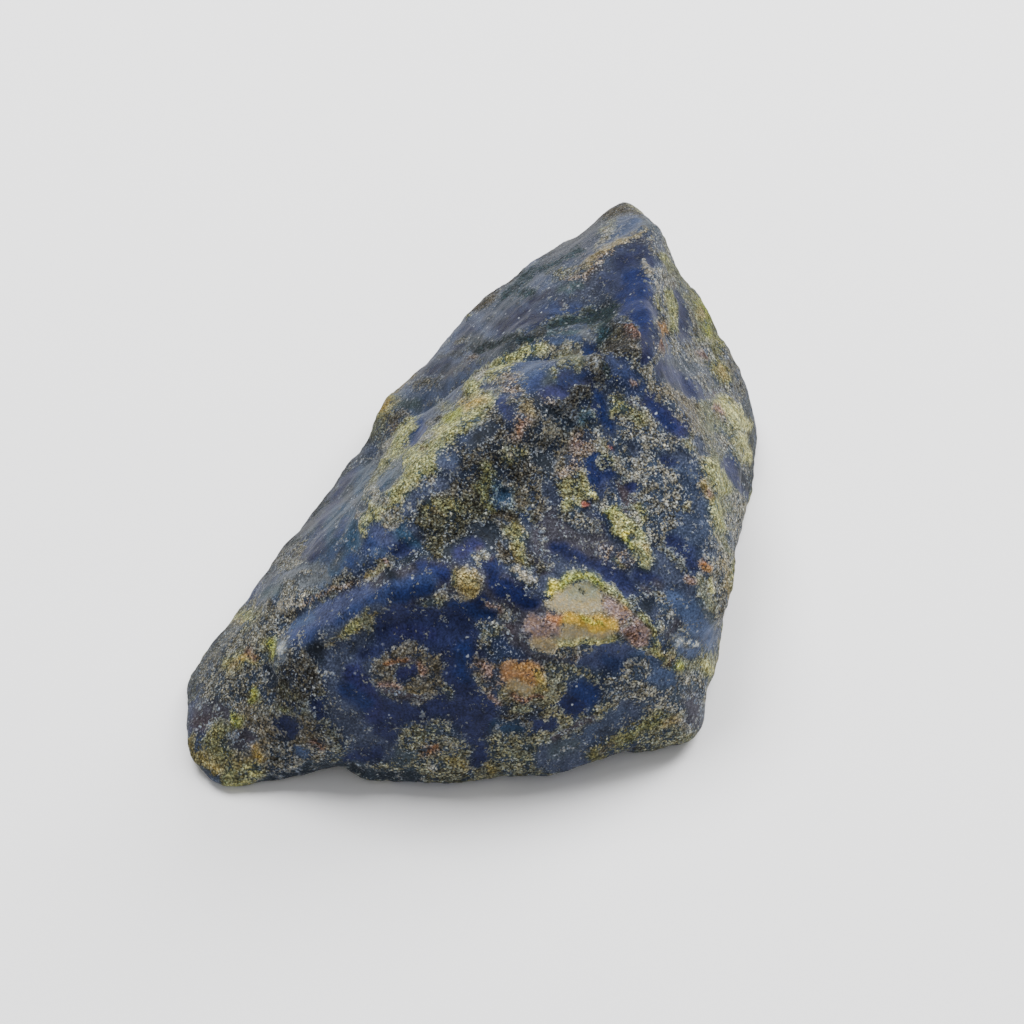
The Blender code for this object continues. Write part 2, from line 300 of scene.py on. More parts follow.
# Strokes of mineral on the faces that the camera sees, laid in this order: broad washes first, then
# each face's own. Each has its half width and the points that its line follows, in pixels of the
# camera's square view.
STROKES = {
    "washes": [
        ("slate_blue", 24, (612, 232), (560, 270), (520, 292), (480, 325), (440, 365), (410, 395)),
        ("pepper", 24, (672, 275), (700, 330), (715, 400), (725, 460), (720, 520), (715, 600)),
        ("dark_pepper", 28, (470, 470), (450, 515), (430, 545)),
        ("slate_navy", 26, (510, 545), (560, 560), (640, 560)),
        ("plum", 26, (365, 600), (430, 585), (500, 600), (560, 650)),
        ("pepper", 22, (300, 610), (280, 640), (330, 650)),
        ("brown_grey", 26, (235, 640), (225, 700), (240, 740), (300, 740)),
        ("olive_pepper", 22, (320, 770), (430, 768), (560, 762)),
        ("grey_green", 24, (690, 600), (690, 660), (690, 720)),
        ("teal_blue", 16, (360, 490), (345, 540), (320, 570)),
    ],
    "far tip": [
        ("dark_slate", 8, (545, 256), (575, 240), (600, 219), (620, 203)),
        ("brown_grey", 9, (606, 213), (630, 206), (643, 213)),
        ("slate_navy", 9, (552, 266), (575, 251), (598, 238)),
        ("dark_teal", 5, (548, 268), (566, 257), (580, 250)),
    ],
    "tip band": [
        ("grey_green", 5, (604, 232), (612, 226)), ("cream_grey", 3, (596, 246), (604, 238), (609, 230)),
        ("olive_pepper", 6, (556, 277), (575, 273), (590, 266)), ("pink_cream", 3, (575, 270), (587, 264)),
        ("cream_band", 6, (590, 264), (604, 254), (622, 243), (642, 233)),
        ("pink_pepper", 3, (584, 257), (590, 256)), ("ochre_brown", 4, (594, 260), (602, 256)),
        ("pink_pepper", 3, (600, 262), (620, 250), (640, 244), (652, 247)),
        ("cream_grey", 3, (638, 233), (644, 231)), ("pepper", 4, (652, 238), (660, 242)),
        ("haze_blue", 6, (624, 233), (635, 227)), ("haze_blue", 4, (640, 223), (646, 222)),
        ("grey_haze", 6, (648, 220), (655, 230)),
        ("plum_brown", 3, (566, 290), (580, 286), (592, 278), (602, 270)),
        ("pink_pepper", 4, (566, 282), (584, 278), (596, 270)), ("plum", 3, (632, 246), (644, 243)),
        ("cream", 2, (646, 247), (650, 248)),
    ],
    "blue face": [
        ("slate_navy", 14, (606, 286), (622, 268), (636, 258)),
        ("navy", 9, (620, 262), (640, 254), (650, 260)),
        ("vivid_blue", 13, (630, 283), (640, 300), (628, 305)), ("vivid_blue", 9, (642, 275), (646, 310)),
        ("deep_ultramarine", 7, (648, 300), (647, 330), (649, 352)),
        ("vivid_blue", 6, (628, 308), (641, 318)), ("plum_navy", 5, (641, 340), (644, 358)),
        ("plum_blue", 7, (602, 284), (614, 276), (618, 290)), ("dark_slate", 8, (590, 294), (606, 302)),
        # Painted highlight: the white stroke is a small glint.
        ("white", 2, (586, 288), (588, 289)), ("cream", 4, (645, 264), (649, 273)),
        ("pepper", 4, (655, 248), (661, 258), (667, 268)), ("ochre", 3, (662, 258), (668, 267), (672, 276)),
        ("grey_green", 9, (675, 270), (686, 290), (692, 312), (698, 335)),
        ("cream_grey", 4, (671, 278), (668, 294), (667, 312), (668, 330)),
        ("pink_cream", 3, (674, 284), (672, 298)), ("grey_grains", 4.5, (669, 330), (674, 350), (681, 366)),
        ("pepper", 4.5, (656, 298), (660, 315), (662, 331), (661, 345), (658, 360)),
        ("olive_ochre", 3, (657, 300), (658, 312)), ("orange", 3, (660, 328), (663, 334)),
        ("rose", 3.5, (660, 343), (663, 350)),
        ("navy", 5.5, (677, 294), (680, 310), (683, 330), (686, 352)), ("navy", 3, (679, 330), (682, 344)),
        ("cream_grey", 2.5, (688, 305), (692, 325), (694, 345)),
        ("olive_ochre", 9, (700, 290), (709, 308), (714, 328), (718, 345)),
        ("yellow_green", 4, (700, 305), (705, 320), (709, 334)), ("ochre_tan", 2.5, (699, 312), (703, 320)),
        ("moss", 4, (714, 322), (719, 338)), ("olive", 4, (710, 348), (716, 354)),
        ("grey_grains", 7, (728, 352), (734, 372), (741, 392)),
        ("pepper", 10, (686, 352), (702, 370), (712, 392)), ("rose", 3, (698, 354), (704, 358)),
        ("olive_ochre", 8, (714, 366), (722, 382)), ("olive_ochre", 2.5, (722, 368), (724, 376)),
        ("slate_navy", 6, (704, 376), (716, 398)), ("navy", 5.5, (663, 367), (674, 374), (684, 388)),
        ("ochre_tan", 3.5, (717, 368), (723, 378)), ("ochre", 4, (668, 296), (670, 312), (672, 330)),
        ("cream_grey", 3, (690, 356), (700, 366)), ("grey_grains", 3.5, (696, 372), (704, 388)),
        ("pepper", 3.5, (680, 350), (694, 372), (704, 390)),
        ("deep_ultramarine", 6, (666, 364), (682, 380), (692, 396)),
        ("vivid_blue", 8, (624, 298), (646, 314)),
    ],
    "nodules under the crest": [
        ("slate_navy", 12, (545, 300), (570, 296), (592, 292)), ("royal_blue", 6, (545, 312), (575, 308)),
        ("teal_haze", 4, (560, 290), (580, 284)), ("plum", 3, (560, 304), (564, 305)),
        ("dark_green", 8, (614, 307), (600, 313), (582, 320), (560, 324), (540, 328)),
        ("dark_green", 8, (608, 318), (606, 330)), ("slate_blue", 4, (566, 330), (584, 326)),
        ("teal_haze", 3, (548, 334), (566, 333), (582, 330)), ("haze_blue", 5, (556, 343), (576, 339)),
        ("slate_blue", 8, (592, 338), (588, 350)), ("deep_ultramarine", 5, (594, 348), (590, 358)),
        ("dark_teal", 7, (604, 334), (600, 346)), ("pale_haze", 4, (583, 333), (589, 337)),
        ("navy", 11, (548, 385), (562, 380), (582, 388)),
        ("ultramarine", 4, (556, 382), (572, 380), (580, 374)), ("ultramarine", 7, (588, 352), (584, 367)),
        ("brown_nodule", 9, (618, 330), (628, 338)), ("rose_nodule", 5, (628, 330), (633, 339)),
        ("dark_slate", 3, (618, 322), (624, 325)), ("brown_nodule", 9, (608, 351), (620, 349)),
        ("brown_nodule", 6, (632, 350), (636, 352)), ("pink_cream", 2.5, (632, 348), (636, 350)),
        ("grey_green", 9, (562, 357), (571, 353), (576, 361)),
        ("cream_grey", 3, (558, 354), (568, 349), (578, 353)), ("grey_green", 3, (548, 375), (552, 381)),
        ("cream_grey", 6, (538, 353), (549, 350)), ("cream", 3, (542, 351), (546, 350)),
        ("royal_blue", 9, (616, 367), (632, 378), (640, 388)),
        ("slate_blue", 4, (600, 392), (612, 388), (622, 392)), ("brown_nodule", 9, (595, 366), (598, 378)),
        ("grey_grains", 3, (590, 364), (594, 372)), ("dark_green", 4, (607, 368), (608, 376)),
        ("brown_nodule", 6, (574, 392), (582, 394)),
        ("cream_grey", 4, (632, 363), (641, 369), (650, 379), (657, 391)),
        ("cream_grey", 4, (650, 366), (654, 374)), ("rose", 3, (630, 384), (636, 387)),
        # Painted highlight: the white stroke is a small glint.
        ("blue_black", 6, (663, 373), (681, 386)), ("white", 1.5, (596, 363), (597, 366)),
        ("olive_ochre", 3, (551, 371), (553, 380)),
    ],
    "upper left face": [
        ("dark_teal", 6, (540, 268), (522, 282), (505, 298)),
        ("brown_grey", 4, (520, 272), (490, 294), (468, 311), (444, 332), (424, 353), (410, 372)),
        ("brown_grey", 7, (478, 304), (492, 299)), ("olive_ochre", 2, (468, 318), (471, 317)),
        ("slate_blue", 7, (490, 318), (503, 322)), ("teal_navy", 5, (500, 308), (516, 304)),
        ("navy", 7, (512, 316), (527, 312)), ("navy", 5, (530, 300), (545, 294)),
        ("dark_teal", 4, (520, 296), (534, 290)), ("navy", 6, (472, 328), (455, 345)),
        ("grey_haze", 8, (470, 341), (486, 344)), ("grey_haze", 2.5, (478, 338), (488, 342)),
        ("rim_grey", 6, (498, 347), (520, 341), (540, 332)), ("dark_teal", 3, (510, 346), (530, 340)),
        ("grey_haze", 6, (490, 357), (515, 350)), ("slate_blue", 4, (478, 352), (498, 350)),
        ("pink_pepper", 4, (469, 360), (477, 357)), ("pink_pepper", 2, (470, 359), (474, 358)),
        ("plum", 6, (445, 373), (466, 367)), ("slate_navy", 6, (430, 362), (418, 375)),
        ("haze_blue", 7, (440, 388), (465, 377), (490, 367)), ("teal_haze", 4, (432, 370), (446, 364)),
        ("grey_grains", 6, (418, 386), (436, 381)), ("teal_haze", 7, (402, 402), (418, 404)),
        ("haze_blue", 8, (430, 400), (431, 412)), ("haze_blue", 5, (430, 404), (436, 410)),
        ("haze_blue", 5, (455, 395), (448, 402)), ("cream_band", 3.5, (412, 373), (398, 390)),
        ("pale_crust", 8, (391, 401), (384, 414)), ("orange_ochre", 4, (389, 404), (385, 412)),
        ("grey_green", 5, (380, 427), (370, 436), (361, 449)), ("brown_grey", 5, (392, 420), (403, 414)),
        ("pink_pepper", 5, (394, 430), (404, 424)), ("grey_haze", 5, (384, 440), (394, 436)),
        ("pepper", 3, (398, 412), (408, 420)), ("dark_green", 5, (476, 350), (500, 340), (520, 334)),
        ("navy", 7, (500, 328), (520, 322), (540, 318)), ("dark_slate", 4, (440, 356), (462, 352)),
        ("navy", 5, (430, 372), (446, 362)), ("brown_grey", 3, (462, 318), (480, 304)),
        # Painted highlights: the two white strokes are small glints.
        ("cream_grey", 2, (456, 342), (466, 338)), ("white", 1.5, (517, 333), (519, 334)),
        ("white", 1.5, (548, 300), (550, 301)),
    ],
    "ochre vein": [
        ("royal_blue", 10, (531, 371), (533, 386)), ("haze_blue", 6, (520, 378), (536, 366)),
        ("grey_haze", 4, (544, 384), (548, 376)), ("pink_pepper", 8, (505, 378), (512, 390)),
        ("grey_grains", 3, (498, 386), (506, 380)),
        ("ochre", 5.5, (542, 350), (527, 354), (512, 361), (500, 368)),
        ("ochre", 6.5, (496, 371), (483, 377), (474, 385)), ("cream_grey", 3, (488, 372), (478, 378)),
        ("ochre", 5, (473, 390), (477, 399)), ("slate_navy", 4, (486, 386), (494, 389)),
        ("ochre", 11, (487, 405), (467, 415), (450, 430), (438, 442)),
        ("ochre_tan", 6, (466, 407), (482, 401)), ("orange_ochre", 3, (468, 406), (478, 402)),
        ("yellow_green", 4, (450, 420), (458, 414)), ("grey_haze", 5, (440, 406), (451, 404)),
        ("grey_green", 4, (444, 407), (450, 405)), ("ochre", 12, (440, 440), (425, 453), (408, 466)),
        ("pale_crust", 3, (438, 436), (446, 430)), ("cream_grey", 4, (424, 440), (434, 434)),
        ("ochre", 7, (415, 424), (405, 435), (398, 448), (386, 464)), ("ochre", 3, (402, 444), (394, 455)),
        ("cream_grey", 4, (392, 440), (386, 452)), ("pale_ochre", 10, (428, 462), (410, 478), (398, 490)),
        ("ochre", 5, (432, 466), (420, 478)), ("grey_green", 8, (376, 470), (369, 486), (366, 500)),
        ("ochre", 9, (392, 497), (380, 506), (371, 520), (367, 532)),
        ("pale_ochre", 5, (376, 498), (372, 512)), ("cream_grey", 6, (385, 500), (372, 492)),
        ("pink_cream", 3, (362, 508), (358, 520)), ("ultramarine", 4, (423, 424), (420, 434), (415, 443)),
        ("pepper", 4, (430, 424), (440, 419)), ("ochre_brown", 2.5, (423, 450), (426, 450)),
        ("grey_haze", 8, (398, 468), (388, 480)), ("teal_blue", 4, (390, 470), (382, 482)),
        ("grey_green", 3, (382, 474), (390, 466)), ("pale_crust", 5, (402, 494), (412, 488), (418, 483)),
        ("cream_grey", 4, (386, 515), (398, 510)), ("pale_crust", 4, (400, 500), (414, 494)),
        ("cream", 3.5, (388, 527), (398, 524)),
    ],
    "left flank": [
        ("navy", 10, (352, 474), (336, 500), (322, 522)),
        ("rim_grey", 4, (372, 442), (354, 456), (336, 480), (322, 505), (302, 530), (284, 552), (262, 573)),
        ("slate_blue", 5, (372, 450), (360, 460)), ("dark_slate", 3, (382, 452), (376, 462)),
        ("teal_blue", 7, (369, 466), (358, 484)),
        ("teal_blue", 8, (356, 492), (350, 512), (342, 530), (330, 542)),
        ("dark_slate", 3, (350, 486), (344, 500)), ("teal_blue", 6, (338, 512), (330, 526)),
        ("royal_blue", 4, (346, 520), (340, 532)), ("blue_black", 5, (302, 534), (311, 524)),
        # Painted highlight: the thin grey_haze streak is a streak of sheen.
        ("grey_haze", 2, (317, 524), (310, 535)), ("slate_blue", 3, (306, 536), (312, 546)),
        ("navy", 8, (320, 546), (310, 558)), ("haze_blue", 7, (338, 550), (328, 562)),
        ("grey_haze", 4, (340, 556), (334, 566)), ("pepper", 7, (294, 552), (280, 564)),
        ("brown_grey", 4, (303, 550), (299, 560)), ("rim_grey", 4, (290, 545), (298, 541)),
        ("cream_grey", 5, (290, 565), (300, 562)), ("pale_haze", 12, (294, 582), (316, 575)),
        ("pepper", 3, (300, 576), (310, 572)), ("haze_blue", 7, (356, 560), (345, 567)),
        ("bright_blue", 5, (352, 558), (352, 566)), ("pale_haze", 3, (324, 577), (330, 579)),
        ("pepper", 4, (338, 578), (350, 574)), ("pepper", 3, (346, 571), (356, 576)),
        ("teal_haze", 6, (268, 595), (278, 588)), ("dark_slate", 5, (268, 580), (274, 571)),
        ("cream_grey", 5, (284, 592), (288, 582)), ("cream_grey", 3, (290, 594), (298, 590)),
        ("cream", 4, (280, 606), (292, 604)), ("brown_grey", 4, (270, 604), (276, 610)),
    ],
    "blue hump": [
        ("royal_blue", 13, (376, 545), (400, 540)), ("plum_blue", 8, (378, 532), (392, 540)),
        ("slate_blue", 5, (396, 530), (404, 540)), ("teal_blue", 8, (404, 530), (411, 545)),
        ("navy", 6, (402, 548), (412, 552)), ("haze_blue", 4, (372, 556), (384, 552)),
        # Painted shade: the dark_slate line below the hump lies along the shadow at its lower edge.
        ("dark_slate", 3, (404, 560), (425, 553)), ("slate_navy", 9, (449, 458), (450, 470)),
        ("slate_blue", 4, (448, 456), (456, 460)), ("slate_navy", 8, (440, 482), (422, 494), (410, 505)),
        ("slate_navy", 4, (408, 502), (416, 498)), ("pepper", 3, (424, 484), (434, 478)),
    ],
    "middle valley": [
        ("dark_pepper", 24, (505, 425), (520, 450), (500, 475)),
        ("dark_pepper", 16, (540, 405), (545, 440), (555, 470)), ("blue_black", 8, (478, 437), (489, 432)),
        ("blue_black", 4, (480, 442), (486, 430)), ("navy", 7, (503, 404), (511, 416)),
        ("dark_pepper", 10, (474, 455), (492, 453)), ("pink_pepper", 7, (517, 434), (523, 421)),
        ("red_brown", 3, (519, 432), (522, 424)), ("brown_grey", 6, (524, 407), (532, 413)),
        ("ochre_brown", 4, (526, 408), (531, 411)), ("pepper", 5, (548, 416), (556, 424)),
        ("olive", 8, (510, 458), (521, 455)), ("cream_grey", 2.5, (511, 453), (514, 455)),
        ("moss", 6, (487, 469), (490, 482)), ("moss", 3, (486, 467), (492, 470)),
        ("pepper", 8, (550, 432), (560, 437), (570, 430)),
        ("cream_grey", 4, (548, 434), (556, 430), (564, 434)), ("teal_nodule", 8, (570, 422), (586, 418)),
        ("plum", 4, (564, 410), (574, 414)), ("brown_nodule", 7, (556, 410), (570, 402)),
        ("pink_pepper", 4, (542, 396), (548, 404)), ("plum_navy", 6, (545, 392), (562, 397)),
        ("dark_pepper", 16, (530, 470), (540, 480)), ("dark_slate", 7, (536, 456), (550, 462)),
        ("dark_olive", 20, (436, 515), (462, 522), (448, 535)), ("olive", 6, (432, 509), (460, 505)),
        ("ochre_brown", 4, (436, 512), (441, 514)), ("olive", 3, (452, 506), (460, 504)),
        ("dark_olive", 6, (430, 545), (446, 549)), ("dark_olive", 4, (432, 546), (442, 552)),
        ("slate_navy", 5, (410, 528), (420, 536)), ("moss", 5, (481, 485), (487, 500), (493, 515)),
        ("moss", 2.5, (484, 488), (488, 500)), ("teal_nodule", 10, (502, 490), (504, 500)),
        ("teal_blue", 5, (504, 494), (506, 502)), ("cream", 2.5, (506, 484), (509, 486)),
        ("brown_grey", 5, (522, 500), (526, 504)), ("brown_grey", 3, (521, 500), (524, 504)),
        ("brown_grey", 3, (523, 491), (528, 494)), ("ochre_brown", 5, (515, 522), (522, 532)),
        ("ochre_brown", 3, (517, 526), (520, 530)), ("dark_brown", 4, (490, 517), (516, 517)),
        ("dark_slate", 6, (485, 527), (493, 529)), ("brown_grey", 9, (543, 495), (545, 515)),
        ("slate_navy", 6, (548, 488), (552, 505)), ("dark_olive", 9, (440, 520), (464, 528)),
        ("dark_brown", 5, (500, 526), (510, 536)), ("dark_olive", 8, (470, 500), (478, 520), (490, 534)),
        ("dark_slate", 6, (484, 530), (496, 534)), ("blue_black", 7, (452, 549), (468, 542), (478, 538)),
        ("blue_black", 6, (476, 540), (486, 547)), ("dark_slate", 5, (544, 410), (574, 422)),
        ("blue_black", 6, (386, 572), (402, 590)), ("dark_slate", 6, (504, 536), (520, 548)),
        ("blue_black", 6, (476, 528), (490, 534)), ("dark_slate", 5, (350, 452), (368, 462)),
        ("dark_slate", 5, (346, 496), (366, 508)),
    ],
    "lower slope": [
        ("plum", 16, (560, 523), (580, 535), (545, 540)), ("grey_haze", 6, (578, 522), (588, 530)),
        ("plum_navy", 8, (476, 546), (462, 554)), ("blue_black", 5, (495, 546), (489, 537)),
        ("deep_ultramarine", 7, (490, 564), (494, 582)), ("deep_ultramarine", 11, (504, 590), (528, 600)),
        ("plum_brown", 6, (530, 560), (545, 568)), ("plum_brown", 3, (480, 549), (490, 559)),
        ("ochre_brown", 4, (517, 546), (521, 562)), ("moss", 2.5, (519, 550), (521, 558)),
        ("grey_grains", 3.5, (502, 557), (511, 568), (522, 577), (535, 579)),
        ("slate_navy", 5, (530, 590), (542, 586)), ("ochre_tan", 12, (463, 580), (468, 588)),
        ("ochre_brown", 4, (455, 574), (457, 588)), ("olive", 3, (453, 572), (454, 580)),
        ("olive_gold", 4, (470, 578), (475, 584)), ("ochre_brown", 2.5, (474, 572), (480, 578)),
        ("cream_band", 3, (462, 597), (466, 599)), ("olive_pepper", 2.5, (487, 601), (492, 604)),
        ("plum_brown", 3, (488, 614), (499, 614)), ("plum_blue", 7, (462, 612), (485, 618)),
        ("navy", 6, (476, 628), (482, 628)), ("deep_ultramarine", 7, (482, 600), (470, 608)),
        ("cream_grey", 4, (478, 560), (486, 552), (476, 556)),
        ("cream", 3, (504, 552), (516, 566), (522, 576), (536, 578)),
        ("grey_green", 4, (524, 560), (530, 568)), ("olive_ochre", 5, (518, 546), (522, 556)),
        ("slate_blue", 8, (566, 516), (580, 520)), ("pepper", 5, (500, 610), (512, 620)),
        ("olive_pepper", 6, (504, 630), (480, 634), (462, 634)),
        ("olive_pepper", 7, (452, 624), (470, 630), (492, 626)), ("grey_green", 3, (462, 632), (482, 632)),
        ("dark_pepper", 8, (508, 556), (524, 552), (540, 566)),
        ("pepper", 6, (564, 516), (580, 524), (592, 534)),
        ("deep_ultramarine", 6, (556, 548), (580, 556), (596, 564)),
        ("olive_ochre", 4, (516, 524), (520, 540), (522, 556)),
        ("deep_ultramarine", 7, (424, 566), (444, 572)), ("rose", 3, (488, 604), (498, 610)),
        ("pepper", 4, (476, 626), (494, 622)), ("olive", 6, (508, 530), (526, 536)),
        ("dark_brown", 4, (500, 546), (508, 554)), ("olive_gold", 3, (514, 546), (518, 558)),
    ],
    "roll": [
        ("plum_blue", 11, (300, 630), (330, 612), (362, 593)),
        ("royal_blue", 12, (345, 622), (385, 597), (425, 580)), ("royal_blue", 8, (298, 640), (312, 632)),
        ("haze_blue", 4, (292, 626), (310, 614)), ("ultramarine", 7, (400, 596), (425, 588)),
        ("pink_cream", 8, (440, 596), (452, 602)), ("slate_navy", 12, (330, 640), (390, 618)),
        ("grey_green", 6, (372, 626), (392, 620)),
        ("pink_pepper", 2.5, (296, 607), (315, 598), (335, 588), (357, 581)),
        ("cream", 4, (284, 609), (300, 602)), ("ochre_brown", 4, (367, 575), (378, 569), (387, 563)),
        ("grey_green", 2, (372, 573), (382, 567)), ("rose", 2, (384, 561), (387, 561)),
        # Painted shade: the thin dark_slate line runs along the shadow under the hump's lower edge.
        ("dark_slate", 2.5, (392, 562), (408, 560), (424, 553)), ("cream", 1.5, (382, 592), (384, 596)),
        ("olive_gold", 6, (327, 648), (345, 634), (362, 621), (380, 611), (394, 611)),
        ("slate_navy", 3, (362, 612), (376, 606), (390, 609)), ("grey_green", 3.5, (366, 612), (368, 622)),
        ("olive_ochre", 3.5, (343, 634), (362, 622)), ("slate_blue", 5, (340, 648), (356, 640)),
        ("olive_pepper", 7, (422, 605), (438, 600), (436, 614)), ("navy", 5, (405, 612), (418, 618)),
        ("ultramarine", 6, (452, 606), (470, 612), (488, 616)), ("grey_green", 2.5, (424, 604), (436, 601)),
    ],
    "right of the crest": [
        ("pepper", 28, (630, 425), (660, 460), (650, 515)), ("brown_grey", 22, (670, 400), (690, 425)),
        ("grey_green", 6, (686, 440), (696, 460)), ("slate_navy", 7, (600, 393), (603, 410), (609, 430)),
        ("ultramarine", 5, (598, 396), (602, 412), (608, 424)), ("navy", 4, (590, 410), (596, 406)),
        ("grey_grains", 4, (590, 426), (596, 434)), ("olive", 8, (616, 404), (632, 410), (638, 420)),
        ("pale_ochre", 3.5, (612, 412), (622, 408)), ("plum", 4, (628, 402), (640, 410)),
        ("plum_navy", 8, (650, 404), (662, 414), (672, 426), (680, 432)),
        ("deep_ultramarine", 5, (652, 406), (662, 416), (672, 428)), ("pepper", 3, (664, 402), (676, 410)),
        ("slate_navy", 5, (630, 444), (636, 450)), ("pink_pepper", 10, (572, 455), (568, 470)),
        ("brown_grey", 3.5, (573, 472), (576, 474)), ("rose", 5, (576, 442), (585, 446)),
        ("brown_grey", 5, (562, 452), (560, 464)), ("cream_grey", 5, (596, 430), (592, 440)),
        ("red", 2.5, (608, 446), (611, 446)), ("ochre", 3.5, (600, 444), (606, 454), (612, 461)),
        ("cream_grey", 3, (614, 464), (622, 470), (630, 474)),
        ("ultramarine", 5, (595, 454), (589, 464), (590, 478)),
        ("deep_ultramarine", 5, (591, 470), (602, 482), (609, 476)),
        ("plum_blue", 6, (606, 486), (606, 494)), ("slate_navy", 4, (598, 505), (592, 511)),
        ("plum_navy", 5, (634, 484), (627, 490)), ("plum_brown", 3.5, (621, 484), (624, 496), (627, 507)),
        ("plum_brown", 4, (628, 494), (632, 502)), ("olive", 10, (567, 487), (580, 490)),
        ("olive", 3, (578, 476), (586, 484)), ("ochre", 7, (568, 506), (574, 507)),
        ("pale_crust", 3, (591, 492), (595, 495)), ("pale_crust", 2.5, (588, 488), (594, 493)),
        ("red", 3, (584, 503), (587, 505)), ("slate_navy", 9, (668, 458), (692, 462)),
        ("navy", 4, (664, 458), (676, 464), (688, 470)),
        ("slate_blue", 9, (682, 470), (695, 486), (703, 512)), ("pepper", 5, (672, 480), (680, 494)),
        ("yellow_green", 7, (611, 512), (622, 526)), ("pale_crust", 5, (614, 516), (622, 528)),
        ("bright_yellow", 2.5, (622, 532), (628, 530)), ("yellow_green", 4, (625, 538), (630, 546)),
        ("pale_ochre", 8, (638, 544), (646, 556), (650, 566)), ("ochre_tan", 2.5, (643, 544), (646, 548)),
        ("olive_ochre", 6, (636, 508), (641, 518)), ("cream_grey", 3, (632, 514), (638, 520)),
        ("navy", 9, (570, 553), (595, 560), (612, 575), (628, 588)), ("plum", 6, (574, 542), (590, 552)),
        ("plum", 11, (590, 526), (600, 545)), ("pink_pepper", 9, (606, 552), (626, 562)),
        ("grey_green", 3, (616, 560), (624, 565)), ("slate_blue", 14, (690, 528), (700, 560)),
        ("navy", 6, (672, 540), (686, 552), (692, 566)), ("slate_navy", 15, (662, 572), (682, 592)),
        ("navy", 6, (640, 576), (656, 582)), ("plum", 3, (645, 590), (650, 594)),
        ("plum", 4, (656, 584), (664, 590)), ("blue_black", 8, (645, 604), (658, 608)),
        ("rose", 3.5, (687, 577), (692, 582)), ("orange_red", 3, (701, 563), (706, 568)),
        ("cream_grey", 5, (708, 556), (713, 572), (708, 590)), ("pale_crust", 2.5, (709, 580), (712, 590)),
        ("pink_pepper", 6, (580, 436), (594, 444), (584, 452)),
        ("cream_grey", 4, (596, 442), (612, 456), (622, 462)), ("pepper", 8, (576, 516), (588, 524)),
        ("ochre", 5, (628, 522), (640, 534)), ("pepper", 6, (612, 496), (604, 504)),
        ("blue_black", 5, (664, 374), (690, 392)), ("dark_slate", 5, (670, 364), (696, 370)),
    ],
    "right side": [
        ("grey_green", 16, (712, 400), (722, 450), (724, 500)), ("grey_grains", 7, (700, 440), (706, 470)),
        ("rim_grey", 4, (746, 400), (751, 440), (752, 470), (748, 500)),
        ("plum_brown", 5, (706, 396), (720, 392)), ("pale_crust", 8, (718, 404), (732, 414), (740, 424)),
        ("rose", 3.5, (713, 407), (720, 414)), ("pink_cream", 2.5, (718, 418), (724, 422)),
        ("pepper", 3, (700, 384), (708, 398)), ("pale_crust", 6, (740, 441), (746, 458)),
        ("pepper", 6, (716, 440), (724, 450)), ("pale_ochre", 8, (710, 466), (722, 486)),
        ("ochre_tan", 4, (702, 484), (708, 500)), ("rose", 2.5, (706, 492), (708, 498)),
        ("pale_crust", 5, (714, 504), (720, 522)), ("pale_ochre", 7, (713, 508), (721, 530)),
        ("navy", 6, (727, 464), (738, 480), (746, 496)), ("blue_black", 4, (742, 474), (748, 488)),
        ("cream_grey", 5, (728, 498), (736, 508)), ("grey_green", 5, (722, 536), (727, 550)),
        ("pepper", 3, (728, 536), (732, 548)), ("grey_grains", 4, (722, 575), (722, 612)),
        ("cream_grey", 2.5, (727, 556), (728, 580)), ("olive_ochre", 3.5, (731, 562), (732, 592)),
        ("cream_band", 2, (721, 560), (726, 576), (729, 596), (725, 620)),
        ("orange", 3, (701, 566), (706, 570)), ("slate_navy", 4, (698, 440), (700, 450)),
        ("cream_grey", 6, (738, 500), (742, 510)), ("navy", 6, (662, 368), (680, 380), (697, 396)),
        ("pepper", 3.5, (678, 350), (696, 366), (708, 384)),
    ],
    "grey nose": [
        ("grey_grains", 24, (245, 625), (222, 660), (222, 690)),
        ("grey_grains", 14, (262, 615), (250, 680), (262, 700)),
        ("rim_grey", 5, (240, 610), (215, 640), (200, 662), (188, 695)),
        ("olive_pepper", 5, (258, 610), (246, 628)), ("cream_grey", 3, (236, 616), (246, 618)),
        ("ochre_tan", 3, (240, 616), (246, 617)), ("olive_ochre", 6, (230, 664), (245, 658), (258, 656)),
        ("ochre_brown", 4, (232, 666), (242, 660)), ("orange_ochre", 3, (244, 658), (250, 655)),
        ("red_brown", 3.5, (252, 650), (260, 655)), ("olive", 6, (270, 640), (274, 656)),
        ("yellow_green", 3.5, (273, 640), (276, 652)), ("pale_haze", 5, (282, 641), (286, 654)),
        # Painted highlight: the white stroke is a small glint on the pale sheen.
        ("white", 3, (282, 644), (285, 651)), ("blue_black", 6, (269, 670), (275, 684)),
        ("dark_pepper", 4, (247, 691), (248, 699)), ("olive", 4, (254, 688), (258, 702)),
        ("yellow_green", 2.5, (255, 690), (256, 700)), ("plum", 13, (204, 712), (222, 712)),
        ("plum_brown", 9, (199, 725), (214, 724)), ("moss", 6, (222, 733), (232, 727), (222, 745)),
        ("dark_olive", 3.5, (220, 728), (224, 738)), ("yellow_green", 4, (236, 714), (242, 720)),
        ("brown_grey", 9, (238, 738), (246, 741)), ("plum_brown", 4, (244, 732), (252, 738)),
        ("olive_gold", 4, (191, 738), (197, 752), (205, 762)), ("olive_gold", 8, (206, 757), (220, 768)),
        ("ochre_tan", 3, (214, 764), (224, 772)), ("olive_gold", 6, (226, 750), (242, 756)),
        ("pale_ochre", 5, (236, 768), (230, 779)), ("pale_crust", 7, (252, 768), (260, 773)),
        ("pale_crust", 3.5, (254, 768), (258, 774)), ("pale_ochre", 6, (234, 785), (248, 783)),
        ("orange_ochre", 3, (254, 750), (262, 753)), ("rose", 3, (256, 744), (260, 747)),
